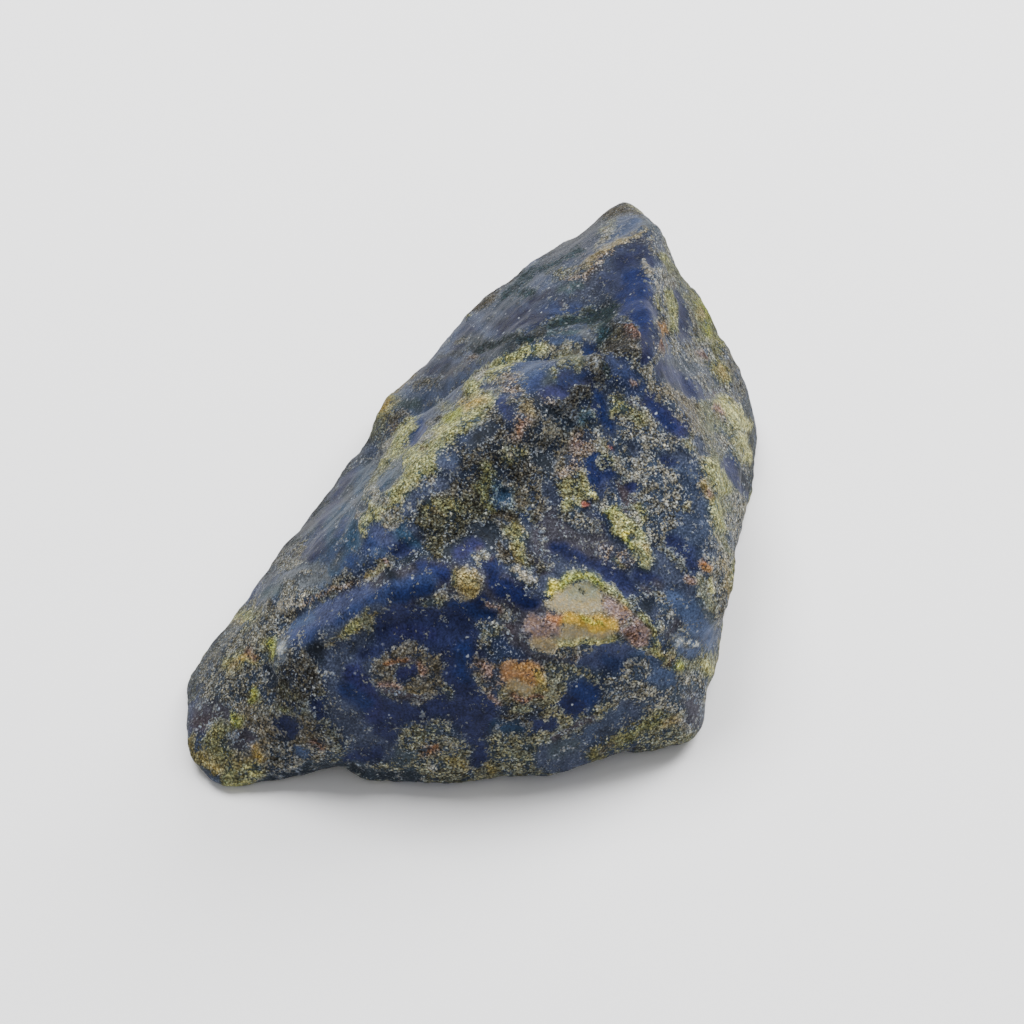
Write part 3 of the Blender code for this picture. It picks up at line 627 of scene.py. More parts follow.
        ("dark_pepper", 16, (288, 690), (310, 680), (300, 668)), ("dark_olive", 6, (284, 688), (296, 694)),
        ("dark_olive", 4, (280, 707), (287, 709)), ("moss", 2.5, (282, 707), (286, 710)),
        ("navy", 9, (285, 722), (292, 729)), ("pepper", 14, (275, 755), (300, 765), (322, 748)),
        ("cream_grey", 4, (290, 768), (304, 764)), ("haze_blue", 5, (300, 750), (307, 753)),
        ("navy", 6, (318, 705), (322, 713)), ("red_brown", 3.5, (316, 738), (322, 744)),
        ("pepper", 12, (344, 715), (351, 731)), ("pepper", 7, (332, 704), (342, 716)),
        ("plum", 9, (236, 738), (246, 744)), ("olive", 8, (218, 726), (214, 742), (226, 754)),
        ("orange_ochre", 3, (258, 746), (262, 756)), ("ochre", 3, (240, 612), (254, 614)),
        ("blue_black", 8, (318, 650), (334, 668)),
    ],
    "gable": [
        ("slate_navy", 26, (350, 660), (355, 705), (375, 740)),
        ("navy", 26, (400, 628), (450, 635), (465, 670)),
        ("navy", 24, (395, 720), (440, 715), (480, 715), (470, 745)),
        ("plum_navy", 10, (352, 672), (366, 690), (372, 712)), ("ultramarine", 8, (346, 690), (362, 704)),
        ("ultramarine", 9, (462, 652), (468, 676)), ("plum_navy", 8, (400, 632), (430, 634)),
        ("navy", 8, (375, 755), (350, 758)), ("navy", 7, (362, 654), (396, 648)),
        ("brown_grey", 12, (384, 674), (390, 660), (412, 654), (432, 664), (434, 680), (415, 692),
         (395, 690)), ("plum_brown", 4, (386, 688), (404, 696), (424, 694)),
        ("plum_brown", 3, (392, 664), (410, 658), (425, 668), (427, 677)),
        ("pink_cream", 3.5, (392, 682), (399, 683)), ("olive", 2, (396, 660), (404, 658)),
        ("plum_navy", 6, (400, 674), (414, 669)), ("olive_pepper", 4, (447, 690), (451, 698)),
        ("dark_pepper", 5, (480, 644), (492, 652)), ("pink_pepper", 12, (482, 668), (490, 682)),
        ("grey_grains", 4, (478, 676), (484, 688)), ("patch_orange", 11, (511, 673), (534, 675)),
        ("orange", 4, (516, 665), (539, 669)), ("rose", 3, (516, 682), (526, 684)),
        ("smooth_cream", 7, (512, 685), (532, 687)), ("orange_ochre", 3, (540, 672), (544, 684)),
        ("olive_gold", 3.5, (542, 684), (538, 692)), ("red_brown", 2.5, (512, 696), (528, 698), (542, 696)),
        ("dark_pepper", 12, (508, 712), (532, 714)), ("grey_green", 3, (516, 706), (530, 710)),
        ("olive_pepper", 13, (558, 672), (588, 674)), ("grey_green", 3, (574, 664), (588, 668)),
        ("teal_navy", 7, (500, 726), (521, 728)), ("navy", 6, (540, 724), (552, 724)),
        ("olive_pepper", 13, (500, 743), (530, 747)), ("grey_green", 4, (506, 752), (526, 756)),
        ("olive_pepper", 18, (416, 742), (440, 736), (455, 752)),
        ("pink_pepper", 5, (424, 752), (436, 748)), ("rust", 2.5, (430, 752), (438, 746)),
        ("olive_gold", 4, (450, 758), (466, 765)), ("grey_haze", 3, (400, 752), (410, 760)),
        ("cream", 3, (431, 764), (434, 766)), ("olive_gold", 3.5, (488, 764), (492, 771)),
        ("olive_pepper", 7, (362, 770), (382, 765), (410, 765)), ("grey_haze", 4, (354, 766), (368, 768)),
        ("rose", 3.5, (480, 664), (490, 672)), ("rust", 2.5, (386, 662), (398, 658), (410, 659)),
        ("red_brown", 3, (421, 664), (427, 674)), ("rose", 3, (380, 682), (398, 684)),
        ("ochre_brown", 3, (412, 690), (424, 688)), ("rose", 2.5, (498, 704), (490, 698)),
        ("orange", 3, (520, 678), (534, 682)), ("grey_green", 3, (420, 736), (434, 730)),
        ("cream_grey", 3, (446, 738), (456, 746)),
        # Painted shadow: a dark strip along the gable's lower edge, where the stone meets its dark shadow on
        # the card.
        ("dark_slate", 5, (262, 780), (300, 771), (340, 766), (380, 774), (420, 779)),
    ],
    "right gable": [
        ("plum_blue", 14, (588, 655), (622, 655)), ("royal_blue", 7, (608, 660), (620, 668)),
        ("haze_blue", 8, (636, 659), (648, 662)), ("pink_pepper", 6, (556, 650), (576, 652)),
        ("pepper", 3, (548, 648), (570, 650)), ("pepper", 18, (618, 692), (650, 700), (690, 690)),
        ("ultramarine", 11, (579, 690), (590, 694)), ("deep_ultramarine", 8, (568, 704), (580, 706)),
        ("slate_navy", 7, (626, 706), (636, 712)),
        ("olive_pepper", 7, (606, 705), (586, 720), (568, 732), (545, 743)),
        ("plum_brown", 3, (592, 716), (572, 727), (556, 736)),
        ("slate_blue", 6.5, (575, 742), (600, 729), (626, 714)), ("slate_navy", 14, (550, 757), (575, 755)),
        ("grey_haze", 6, (556, 750), (572, 746)), ("olive", 8, (662, 717), (640, 729), (620, 740)),
        ("moss", 4, (656, 722), (640, 732), (624, 740)), ("olive", 6, (620, 737), (606, 749), (590, 755)),
        ("brown_grey", 3, (612, 744), (598, 752)), ("olive_pepper", 8, (645, 741), (672, 735)),
        ("ochre_brown", 4, (664, 724), (676, 718)), ("haze_blue", 8, (650, 674), (668, 678)),
        ("olive_ochre", 5, (662, 654), (672, 663)), ("yellow_green", 3, (668, 658), (680, 666)),
        ("pepper", 7, (640, 666), (646, 672)), ("haze_blue", 9, (679, 640), (690, 650)),
        ("pale_haze", 4, (676, 638), (686, 644)), ("pepper", 2, (672, 648), (680, 640), (690, 646)),
        ("cream_grey", 3, (662, 634), (672, 627), (684, 626), (692, 634)),
        ("haze_blue", 12, (672, 600), (690, 614), (704, 636)), ("slate_navy", 6, (658, 612), (672, 622)),
        ("grey_haze", 3, (700, 606), (712, 622)), ("pale_crust", 4, (704, 662), (708, 669)),
        ("plum", 9, (689, 699), (696, 710)), ("pink_cream", 7, (684, 723), (696, 720)),
        # Painted highlights: the two white strokes are small glints.
        ("white", 1.8, (676, 644), (682, 640)), ("white", 1.8, (690, 641), (694, 646)),
        ("plum", 8, (690, 700), (694, 722)), ("pepper", 5, (662, 596), (668, 616), (664, 630)),
        ("pink_pepper", 5, (656, 650), (668, 660)), ("pepper", 6, (626, 668), (646, 668)),
        ("plum", 5, (676, 622), (668, 634)),
    ],
    "calcite window": [
        ("plum", 7, (514, 636), (523, 628)), ("mauve", 10, (533, 624), (543, 634)),
        ("plum_brown", 5, (507, 628), (509, 630)), ("calcite", 8, (562, 632), (584, 632), (606, 631)),
        ("mauve", 5, (548, 627), (560, 629)), ("smooth_yellow", 3, (592, 626), (616, 626)),
        ("pale_crust", 3, (548, 642), (580, 640), (612, 637)),
        ("cream_grey", 4, (534, 648), (560, 650), (590, 647)), ("calcite", 12, (562, 600), (590, 600)),
        ("calcite", 6, (551, 605), (598, 607)), ("grey_calcite", 8, (574, 592), (590, 593)),
        ("calcite", 3, (560, 590), (568, 586)), ("pit", 1.2, (581, 594), (582, 596)),
        ("yellow_green", 4.5, (560, 585), (571, 577), (588, 577), (602, 586)),
        ("bright_yellow", 4, (549, 590), (553, 582)),
        ("olive_ochre", 3.5, (604, 586), (614, 594), (624, 603)), ("mauve", 7, (609, 604), (618, 611)),
        ("orange", 2, (619, 606), (626, 609)), ("smooth_orange", 4, (552, 619), (562, 620)),
        ("smooth_yellow", 4.5, (568, 619), (584, 620), (612, 620)),
        ("bright_yellow", 2, (580, 616), (600, 622)), ("mauve", 10, (630, 625), (638, 634)),
        ("rose", 4, (626, 619), (636, 630)), ("olive_ochre", 3, (640, 612), (649, 625), (653, 640)),
        ("olive_ochre", 4, (654, 648), (662, 656)), ("rose", 3, (632, 640), (642, 642)),
        ("red_brown", 3, (628, 632), (636, 636)), ("pink_cream", 2.5, (625, 624), (630, 618)),
        ("smooth_cream", 6, (536, 640), (552, 643)), ("rose", 4, (548, 622), (556, 624)),
    ],
}

# What the hidden sides are strewn with: minerals, how many patches of them, the tone of them all, and
# their smallest and greatest half width and soft rim in millimetres.
HIDDEN_MINERALS = (
    "ochre", "pepper", "navy", "olive_pepper", "ultramarine", "ochre", "grey_green", "royal_blue",
    "rust", "olive_ochre", "slate_navy", "cream_grey", "navy", "rose", "orange_ochre", "plum",
)
HIDDEN_PATCHES = 150
HIDDEN_TONE = 0.78
HIDDEN_HALF_WIDTHS = (0.5, 2.2)
HIDDEN_RIM = 0.3
HIDDEN_SEED = 5

# How far a face has to turn towards the camera for its strokes to show in full, and how hidden a place
# has to be, from 0 to 1, to become the middle of a patch.
SEEN_LEAN = 0.12
HIDDEN_ENOUGH = 0.9

# How wide a stroke's soft rim is: at most this many pixels, and at most this share of its half width.
STROKE_RIM = 5.5
RIM_SHARE = 0.85

# How strokes get natural outlines: the width of each noise's lumps in millimetres and how many pixels
# it moves them. The noise down the view is read this far off from the noise across it.
STROKE_WANDER = ((2.0, 2.0), (0.8, 2.5), (0.4, 2.0))
WANDER_SHIFT = 13.0

# The stone before its strokes. Crust lies where broad noise is high: the width and strength of that
# noise, the part of its range that counts, and the coverage below it and how much is added above it.
BARE_LUMPS = ((6.0, 1.0), (2.2, 0.6))
BARE_RANGE = (-0.4, 0.4)
BARE_COVER = (0.15, 0.65)
BARE_GRAIN = 0.9
BARE_RISE = 0.12

# Its crust and its rock each change between two colours: the noise's lump width, how far off it is
# read in the lattice, and the part of its range over which they change.
BARE_CRUST = ("#494c48", "#62604d", 5.0, 57.0, (-0.1, 0.5))
BARE_ROCK = ("#222b46", "#303a50", 4.0, 31.0, (-0.6, 0.6))


def linear(hex_colour):
    """A colour's linear red, green and blue from its sRGB hex value."""
    shares = np.array([int(hex_colour[i : i + 2], 16) / 255 for i in (1, 3, 5)])
    return np.where(shares <= 0.04045, shares / 12.92, ((shares + 0.055) / 1.055) ** 2.4)


def unit_rows(vectors):
    """Each row divided by its length."""
    return vectors / np.linalg.norm(vectors, axis=1)[:, None]


# ----------------------------------------------------------------------------- the stone's surface


def outward_normal(compass, slope):
    """The direction a plane faces, from its compass angle and its slope from level in degrees."""
    turn = math.radians(compass)
    lean = math.radians(slope)
    return (math.sin(lean) * math.cos(turn), math.sin(lean) * math.sin(turn), math.cos(lean))


def block_distance(rays):
    """How far each ray from the heart runs inside the block, which way the block faces there, and
    how squarely the ray meets it.

    A ray meets plane k at 1 / q_k, with q_k the ray's share along the plane's normal divided by the
    plane's distance. The block's surface is at (sum of q_k to the power p) to the power -1/p, which
    is the nearest plane, rounded over where two of them are about as near.
    """
    normals = np.array([outward_normal(compass, slope) for _, compass, slope in FRACTURE_PLANES.values()])
    points = np.array([point for point, _, _ in FRACTURE_PLANES.values()])
    distances = ((points - HEART) * normals).sum(axis=1)
    nearness = np.maximum(rays @ (normals / distances[:, None]).T, 0.0)
    distance = (nearness**EDGE_SHARPNESS).sum(axis=1) ** (-1.0 / EDGE_SHARPNESS)
    weights = (nearness * distance[:, None]) ** (EDGE_SHARPNESS - 1.0)
    facing = unit_rows(weights @ (normals / distances[:, None]))
    lean = np.maximum((facing * rays).sum(axis=1), LEAST_LEAN)
    return distance, facing, lean


def distance_to_line(points, line):
    """The distance from each point to a line of straight runs, or to its only point."""
    corners = np.array(line, float)
    nearest = np.linalg.norm(points - corners[0], axis=1)
    for start, end in zip(corners[:-1], corners[1:]):
        run = end - start
        share = np.clip((points - start) @ run / (run @ run), 0.0, 1.0)
        foot = start + share[:, None] * run
        nearest = np.minimum(nearest, np.linalg.norm(points - foot, axis=1))
    return nearest


def lattice_noise(points, lump_width, lattice):
    """Smooth noise from -1 to 1: random values on a cubic lattice, blended between its corners."""
    place = points / lump_width
    cell = np.floor(place).astype(int)
    part = place - cell
    blend = part * part * (3.0 - 2.0 * part)
    total = np.zeros(len(points))
    for corner in np.ndindex(2, 2, 2):
        weight = np.where(corner, blend, 1.0 - blend).prod(axis=1)
        index = (cell + corner) % LATTICE_SIZE
        total += weight * lattice[index[:, 0], index[:, 1], index[:, 2]]
    return total


def make_lattice(seed):
    """A cube of random values from -1 to 1."""
    return np.random.default_rng(seed).uniform(-1.0, 1.0, (LATTICE_SIZE,) * 3)


def lumpy(points, lumps, lattice):
    """Noise of several sizes: the sum of each size's height times the noise of its lump width."""
    return sum(height * lattice_noise(points, width, lattice) for width, height in lumps)


def relief_height(points):
    """The forms and the lumps at each point, as a height over the block's face.

    A form's height is its rise times e to the power -(distance from its line / half width) squared.
    """
    height = lumpy(points, LUMPS, make_lattice(LUMP_SEED))
    for line, half_width, rise in RELIEF.values():
        height += rise * np.exp(-((distance_to_line(points, line) / half_width) ** 2))
    return height


def surface_points(rays, distance):
    """The point at each ray's distance from the heart, with what would be below z = 0 cut off level."""
    heart = np.array(HEART)
    drop = np.maximum(-rays[:, 2], LEAST_DROP)
    floor_distance = heart[2] / drop
    surface = heart + rays * np.minimum(distance, floor_distance)[:, None]
    surface[distance >= floor_distance, 2] = 0.0
    return surface


def box_skin(cells):
    """The grid points on a box's six sides, from -1 to 1 along each axis, and its four-sided cells.

    Each side is a grid of two parameters. A point's three whole numbers in the box's lattice make
    one number, by which the points that sides share are found and kept once.
    """
    points, quads, start = [], [], 0
    for axis in range(3):
        u_axis, v_axis = (axis + 1) % 3, (axis + 2) % 3
        u, v = np.meshgrid(np.arange(cells[u_axis] + 1), np.arange(cells[v_axis] + 1), indexing="ij")
        for side in (0, 1):
            place = np.zeros(u.shape + (3,), int)
            place[..., axis] = side * cells[axis]
            place[..., u_axis] = u
            place[..., v_axis] = v
            number = start + np.arange(u.size).reshape(u.shape)
            corners = [number[:-1, :-1], number[1:, :-1], number[1:, 1:], number[:-1, 1:]]
            if side == 0:
                corners.reverse()
            points.append(place.reshape(-1, 3))
            quads.append(np.stack(corners, axis=-1).reshape(-1, 4))
            start += u.size
    places = np.concatenate(points)
    row = cells[0] + 1
    keys = places @ np.array((1, row, row * (cells[1] + 1)))
    _, first, shared = np.unique(keys, return_index=True, return_inverse=True)
    grid = places[first] / np.array(cells) * 2.0 - 1.0
    return grid, shared[np.concatenate(quads)]


# -------------------------------------------------------------------------------- camera geometry


def camera_axes():
    """The camera's right, up and backward directions."""
    turn, rise = math.radians(CAMERA_AZIMUTH), math.radians(CAMERA_ELEVATION)
    back = np.array((math.sin(turn) * math.cos(rise), -math.cos(turn) * math.cos(rise), math.sin(rise)))
    right = np.cross((0.0, 0.0, 1.0), back)
    right /= np.linalg.norm(right)
    return right, np.cross(back, right), back


def view_places(points):
    """Where each point, in millimetres from the origin, falls in the camera's square view in pixels."""
    right, up, back = camera_axes()
    offset = points - (np.array(CAMERA_TARGET) + back * CAMERA_DISTANCE)
    focal = CAMERA_LENS / CAMERA_SENSOR * VIEW_SIDE
    depth = -offset @ back
    middle = VIEW_SIDE / 2
    across = middle + focal * (offset @ right) / depth
    down = middle - focal * (offset @ up) / depth
    return np.stack([across, down], axis=1)


# ------------------------------------------------------------------------- the crust and the tones


def smooth_step(values, low, high):
    """A soft step from 0 at the low value to 1 at the high one: 3 s squared - 2 s cubed."""
    share = np.clip((values - low) / (high - low), 0.0, 1.0)
    return share * share * (3.0 - 2.0 * share)


def two_toned(points, lattice, first, second, lump_width, shift, limits):
    """The first colour where smooth noise is low and the second where it is high."""
    share = smooth_step(lattice_noise(points + shift, lump_width, lattice), *limits)[:, None]
    return linear(first) * (1.0 - share) + linear(second) * share


def bare_fields(points):
    """The stone before its strokes: blue rock with crust wherever broad noise is high."""
    lattice = make_lattice(TONE_SEED)
    least, added = BARE_COVER
    cover = least + added * smooth_step(lumpy(points, BARE_LUMPS, lattice), *BARE_RANGE)
    return {
        "coverage": cover,
        "tint": two_toned(points, lattice, *BARE_CRUST),
        "rock": two_toned(points, lattice, *BARE_ROCK),
        "grain": np.full(len(points), BARE_GRAIN),
        "rise": BARE_RISE * cover,
    }


def lay_mineral(fields, mineral, share, tone):
    """Lays one mineral over the fields: each moves towards the mineral's own value by the share.

    A crust also shades the rock in its gaps, and the few grains on bare rock are dust grey.
    """
    cover, colour, grain, rise = MINERALS[mineral]
    tint, rock, hold = linear(colour), GAP_SHADE * linear(colour), GAP_HOLD
    if cover < CRUST_COVER:
        tint, rock, hold = linear(DUST_COLOUR), linear(colour), 1.0
    fields["coverage"] += share * (cover - fields["coverage"])
    # The tone scales the colours. On the faces that the camera sees, it is painted shade.
    fields["tint"] += share[:, None] * (tone * tint - fields["tint"])
    fields["rock"] += hold * share[:, None] * (tone * rock - fields["rock"])
    fields["grain"] += share * (grain - fields["grain"])
    fields["rise"] += share * (rise - fields["rise"])


def lay_strokes(fields, places, seen):
    """Lays the strokes on what the camera sees: full inside the half width, none past its soft rim."""
    for face, strokes in STROKES.items():
        for mineral, half_width, *line in strokes:
            rim = min(STROKE_RIM, RIM_SHARE * half_width)
            share = smooth_step(half_width - distance_to_line(places, line), -rim, rim)
            # The face's painted shade darkens or lightens its strokes' colours.
            lay_mineral(fields, mineral, share * seen, FACE_PAINTED_SHADE[face])


def lay_hidden_patches(fields, points, hidden):
    """Strews patches over the sides that the camera doesn't see, each a short line of random course."""
    rng = np.random.default_rng(HIDDEN_SEED)
    middles = points[rng.choice(np.flatnonzero(hidden > HIDDEN_ENOUGH), HIDDEN_PATCHES)]
    for number, middle in enumerate(middles):
        half_width = rng.uniform(*HIDDEN_HALF_WIDTHS)
        end = middle + rng.normal(size=3) * half_width
        share = smooth_step(half_width - distance_to_line(points, [middle, end]), -HIDDEN_RIM, HIDDEN_RIM)
        mineral = HIDDEN_MINERALS[number % len(HIDDEN_MINERALS)]
        lay_mineral(fields, mineral, share * hidden, HIDDEN_TONE)


def wandering(points, places):
    """Moves each place in the view a little by noise, so that strokes get natural outlines."""
    lattice = make_lattice(WANDER_SEED)
    across = lumpy(points, STROKE_WANDER, lattice)
    down = lumpy(points + WANDER_SHIFT, STROKE_WANDER, lattice)
    return places + np.stack([across, down], axis=1)


def paint_fields(points, facing):
    """Crust coverage, colours, graininess and rise at each point of the stone."""
    _, _, back = camera_axes()
    seen = smooth_step(facing @ back, 0.0, SEEN_LEAN)
    centred = points - FOOTPRINT_MIDDLE
    fields = bare_fields(points)
    lay_hidden_patches(fields, points, 1.0 - seen)
    lay_strokes(fields, wandering(points, view_places(centred)), seen)
    return fields


def add_colour_attribute(mesh, name, colours, alpha):
    """Stores a linear colour and a number at each point of the mesh."""
    attribute = mesh.attributes.new(name, "FLOAT_COLOR", "POINT")
    attribute.data.foreach_set("color", np.column_stack([colours, alpha]).astype(np.float32).ravel())


def make_stone_mesh(name):
    """The stone's closed mesh, with its crust and tones as attributes of its points.

    Each ray is a grid point p of a box, bent to (tan of p times a quarter turn) times the reach.
    The point on it is the heart plus the ray times (block distance + height / lean), where height
    is the forms, lumps, crust rise and fine lumps added up.
    """
    grid, quads = box_skin(RAY_CELLS)
    rays = unit_rows(np.tan(grid * math.pi / 4) * np.array(REACH))
    distance, facing, lean = block_distance(rays)
    block = np.array(HEART) + rays * distance[:, None]
    distance = distance + relief_height(block) / lean
    rough = surface_points(rays, distance)
    fields = paint_fields(rough, facing)
    lattice = make_lattice(FINE_SEED)
    crusty = fields["coverage"] * fields["grain"]
    fine = fields["rise"] + lumpy(rough, FINE_LUMPS, lattice)
    fine += crusty * lumpy(rough + CRUST_SHIFT, CRUST_LUMPS, lattice)
    surface = surface_points(rays, distance + fine / lean)
    mesh = bpy.data.meshes.new(name)
    mesh.from_pydata((surface - FOOTPRINT_MIDDLE) * MM, [], quads)
    mesh.shade_smooth()
    add_colour_attribute(mesh, "crust", fields["tint"], fields["coverage"])
    add_colour_attribute(mesh, "rock", fields["rock"], fields["grain"])
    return mesh


# ------------------------------------------------------------------------------------ materials

# The noises of the materials, by what they draw: the width of their lumps in millimetres, their
# detail, their roughness and their distortion. Specks are drawn at the least width that shows.
NOISES = {
    "bend": (0.6, 4.0, 0.7, 0.0),
    "ragged": (0.9, 5.0, 0.75, 0.0),
    "speck": (0.14, 1.0, 0.6, 0.0),
    "clump": (0.5, 3.0, 0.65, 0.6),
    "mottle": (1.1, 5.0, 0.75, 0.0),
    "card fibres": (40.0, 3.0, 0.5, 0.0),
}

# How noises, distances and random numbers are used: the range that is read and what it becomes.
RANGES = {
    "covered": (2.14, 2.21, 0.0, 1.0),
    # Painted shade: gap darkens each crust grain towards its edge, into the crevices between grains.
    "gap": (0.3, 0.8, 1.2, 0.35),
    "speckle": (0.3, 0.7, 0.15, 1.85),
    "clump": (0.35, 0.65, 0.3, 1.6),
    "pale grain and glint": (0.94, 0.98, 0.0, 0.25),
    "mottle": (0.3, 0.7, 0.35, 1.25),
    "soft speckle": (0.3, 0.7, 0.55, 1.45),
    "fleck": (0.2, 0.08, 0.0, 0.8),
    "glint": (0.6, 0.72, 0.0, 0.5),
    "grainy rock": (0.4, 1.0, 0.0, 1.0),
    "roughness": (0.0, 1.0, 0.55, 0.85),
    "dome": (0.0, 0.9, 0.1, 0.0),
    "card level": (0.3, 0.7, 0.985, 1.0),
}

# How far the bend takes the grains out of line, and how far apart pale flecks lie in the rock, in
# millimetres. Only the flecks with the highest random numbers show: this power makes the rest faint.
BEND_REACH = 0.45
FLECK_SPACING = 0.6
FLECK_RARITY = 6.0

# How much the ragged noise and each grain's random number count beside the coverage, when it is
# settled what crust covers.
RAGGED_SHARE = 3.0
GRAIN_SHARE = 0.45

# How much a grain's brightness varies, and the least it is. The colour of a pale grain, partly pale
# mineral and partly a painted highlight of a glint, and the red, green and blue of cold and warm grains
# beside the crust's.
BRIGHT_SPAN = 1.4
BRIGHT_LEAST = 1.1
PALE_GRAIN_AND_GLINT = "#9b9d9d"
COLD_GRAIN = (0.86, 0.97, 1.2, 1.0)
WARM_GRAIN = (1.12, 1.03, 0.82, 1.0)

# How high the crust's edge, the ragged noise and the specks stand, in millimetres, and how strongly
# the small relief shows.
CRUST_EDGE = 0.03
RAGGED_HEIGHT = 0.1
SPECK_HEIGHT = 0.03
BUMP_STRENGTH = 0.9

# How many grid lines the card has along each side.
CARD_LINES = 9


def add_node(tree, kind, values=None, links=None, **settings):
    """Adds a node with its settings, its sockets' values and its links, by socket name or number."""
    node = tree.nodes.new(kind)
    for setting, value in settings.items():
        setattr(node, setting, value)
    for socket, value in (values or {}).items():
        node.inputs[socket].default_value = value
    for socket, source in (links or {}).items():
        tree.links.new(source, node.inputs[socket])
    return node


def new_material(name):
    """A material with an empty tree but for the Principled shader and its output."""
    material = bpy.data.materials.new(name)
    material.use_nodes = True
    return material, material.node_tree, material.node_tree.nodes["Principled BSDF"]


def noise_values(name):
    """A noise's values by socket: its scale is one over the width of its lumps."""
    width, detail, roughness, distortion = NOISES[name]
    return {"Scale": 1 / width, "Detail": detail, "Roughness": roughness, "Distortion": distortion}


def range_values(name):
    """A range's values by socket number: what is read from and to, and what they become."""
    return dict(enumerate(RANGES[name], start=1))


def make_patterns(tree, settings):
    """The patterns that the stone's colours and relief share, by name, in millimetres on the stone.

    "bent" is the place moved by noise, "grains" the cells of the crust, "draw" three random numbers
    of each grain, "bright" how light it is, and "ragged" and "speck" are noise from 0 to 1.
    """
    place = add_node(tree, "ShaderNodeTexCoord").outputs["Object"]
    mm = add_node(
        tree, "ShaderNodeVectorMath", {1: (1 / MM,) * 3}, {0: place}, operation="MULTIPLY"
    ).outputs[0]
    bend = add_node(tree, "ShaderNodeTexNoise", noise_values("bend"), {"Vector": mm}).outputs["Color"]
    bent = add_node(
        tree, "ShaderNodeVectorMath", {1: (BEND_REACH,) * 3}, {0: bend, 2: mm}, operation="MULTIPLY_ADD"
    ).outputs[0]
    grains = add_node(
        tree, "ShaderNodeTexVoronoi", {"Scale": 1 / (settings.grain_width / MM)}, {"Vector": bent}
    ).outputs
    draw = add_node(tree, "ShaderNodeSeparateColor", None, {0: grains["Color"]}).outputs
    bright = add_node(
        tree, "ShaderNodeMath", {1: BRIGHT_SPAN, 2: BRIGHT_LEAST}, {0: draw[1]}, operation="MULTIPLY_ADD"
    ).outputs[0]
    ragged = add_node(tree, "ShaderNodeTexNoise", noise_values("ragged"), {"Vector": mm}).outputs["Fac"]
    speck = add_node(tree, "ShaderNodeTexNoise", noise_values("speck"), {"Vector": mm}).outputs["Fac"]
    return {"bent": bent, "grains": grains, "draw": draw, "bright": bright, "ragged": ragged, "speck": speck}


def make_cover(tree, crust, patterns):
    """Where crust covers the rock, 0 or 1: coverage, ragged noise and each grain's luck added up."""
    edge = crust["Alpha"]
    for part, share in ((patterns["ragged"], RAGGED_SHARE), (patterns["draw"][0], GRAIN_SHARE)):
        edge = add_node(
            tree, "ShaderNodeMath", {1: share}, {0: part, 2: edge}, operation="MULTIPLY_ADD"
        ).outputs[0]
    return add_node(tree, "ShaderNodeMapRange", range_values("covered"), {0: edge}).outputs[0]


def make_crust_colour(tree, crust, grain, patterns):
    """The crust's own colour, colder or warmer by grain, with a few pale grains that are partly painted
    glints. Each is shaded by its own brightness, dark gaps round it that are painted shade in the crevices
    between grains, specks and clumps, as far as the crust is grainy."""
    clump = add_node(
        tree, "ShaderNodeTexNoise", noise_values("clump"), {"Vector": patterns["bent"]}
    ).outputs["Fac"]
    shades = {"gap": patterns["grains"]["Distance"], "speckle": patterns["speck"], "clump": clump}
    shade = patterns["bright"]
    for name, source in shades.items():
        part = add_node(tree, "ShaderNodeMapRange", range_values(name), {0: source}).outputs[0]
        shade = add_node(tree, "ShaderNodeMath", None, {0: shade, 1: part}, operation="MULTIPLY").outputs[0]
    shade = add_node(tree, "ShaderNodeMix", {2: 1.0}, {0: grain, 3: shade}, data_type="FLOAT").outputs[0]

    warmth = add_node(
        tree, "ShaderNodeMix", {6: COLD_GRAIN, 7: WARM_GRAIN}, {0: patterns["draw"][2]}, data_type="RGBA"
    ).outputs[2]
    colour = add_node(
        tree, "ShaderNodeVectorMath", None, {0: crust["Color"], 1: warmth}, operation="MULTIPLY"
    ).outputs[0]
    # Pale grains, partly painted glints: painted highlights on single grains.
    pale = add_node(
        tree, "ShaderNodeMapRange", range_values("pale grain and glint"), {0: patterns["draw"][0]}
    ).outputs[0]
    pale = add_node(tree, "ShaderNodeMath", None, {0: pale, 1: grain}, operation="MULTIPLY").outputs[0]
    colour = add_node(
        tree, "ShaderNodeMix", {7: (*linear(PALE_GRAIN_AND_GLINT), 1.0)}, {0: pale, 6: colour}, data_type="RGBA"
    ).outputs[2]
    return add_node(
        tree, "ShaderNodeVectorMath", None, {0: colour, "Scale": shade}, operation="SCALE"
    ).outputs[0]


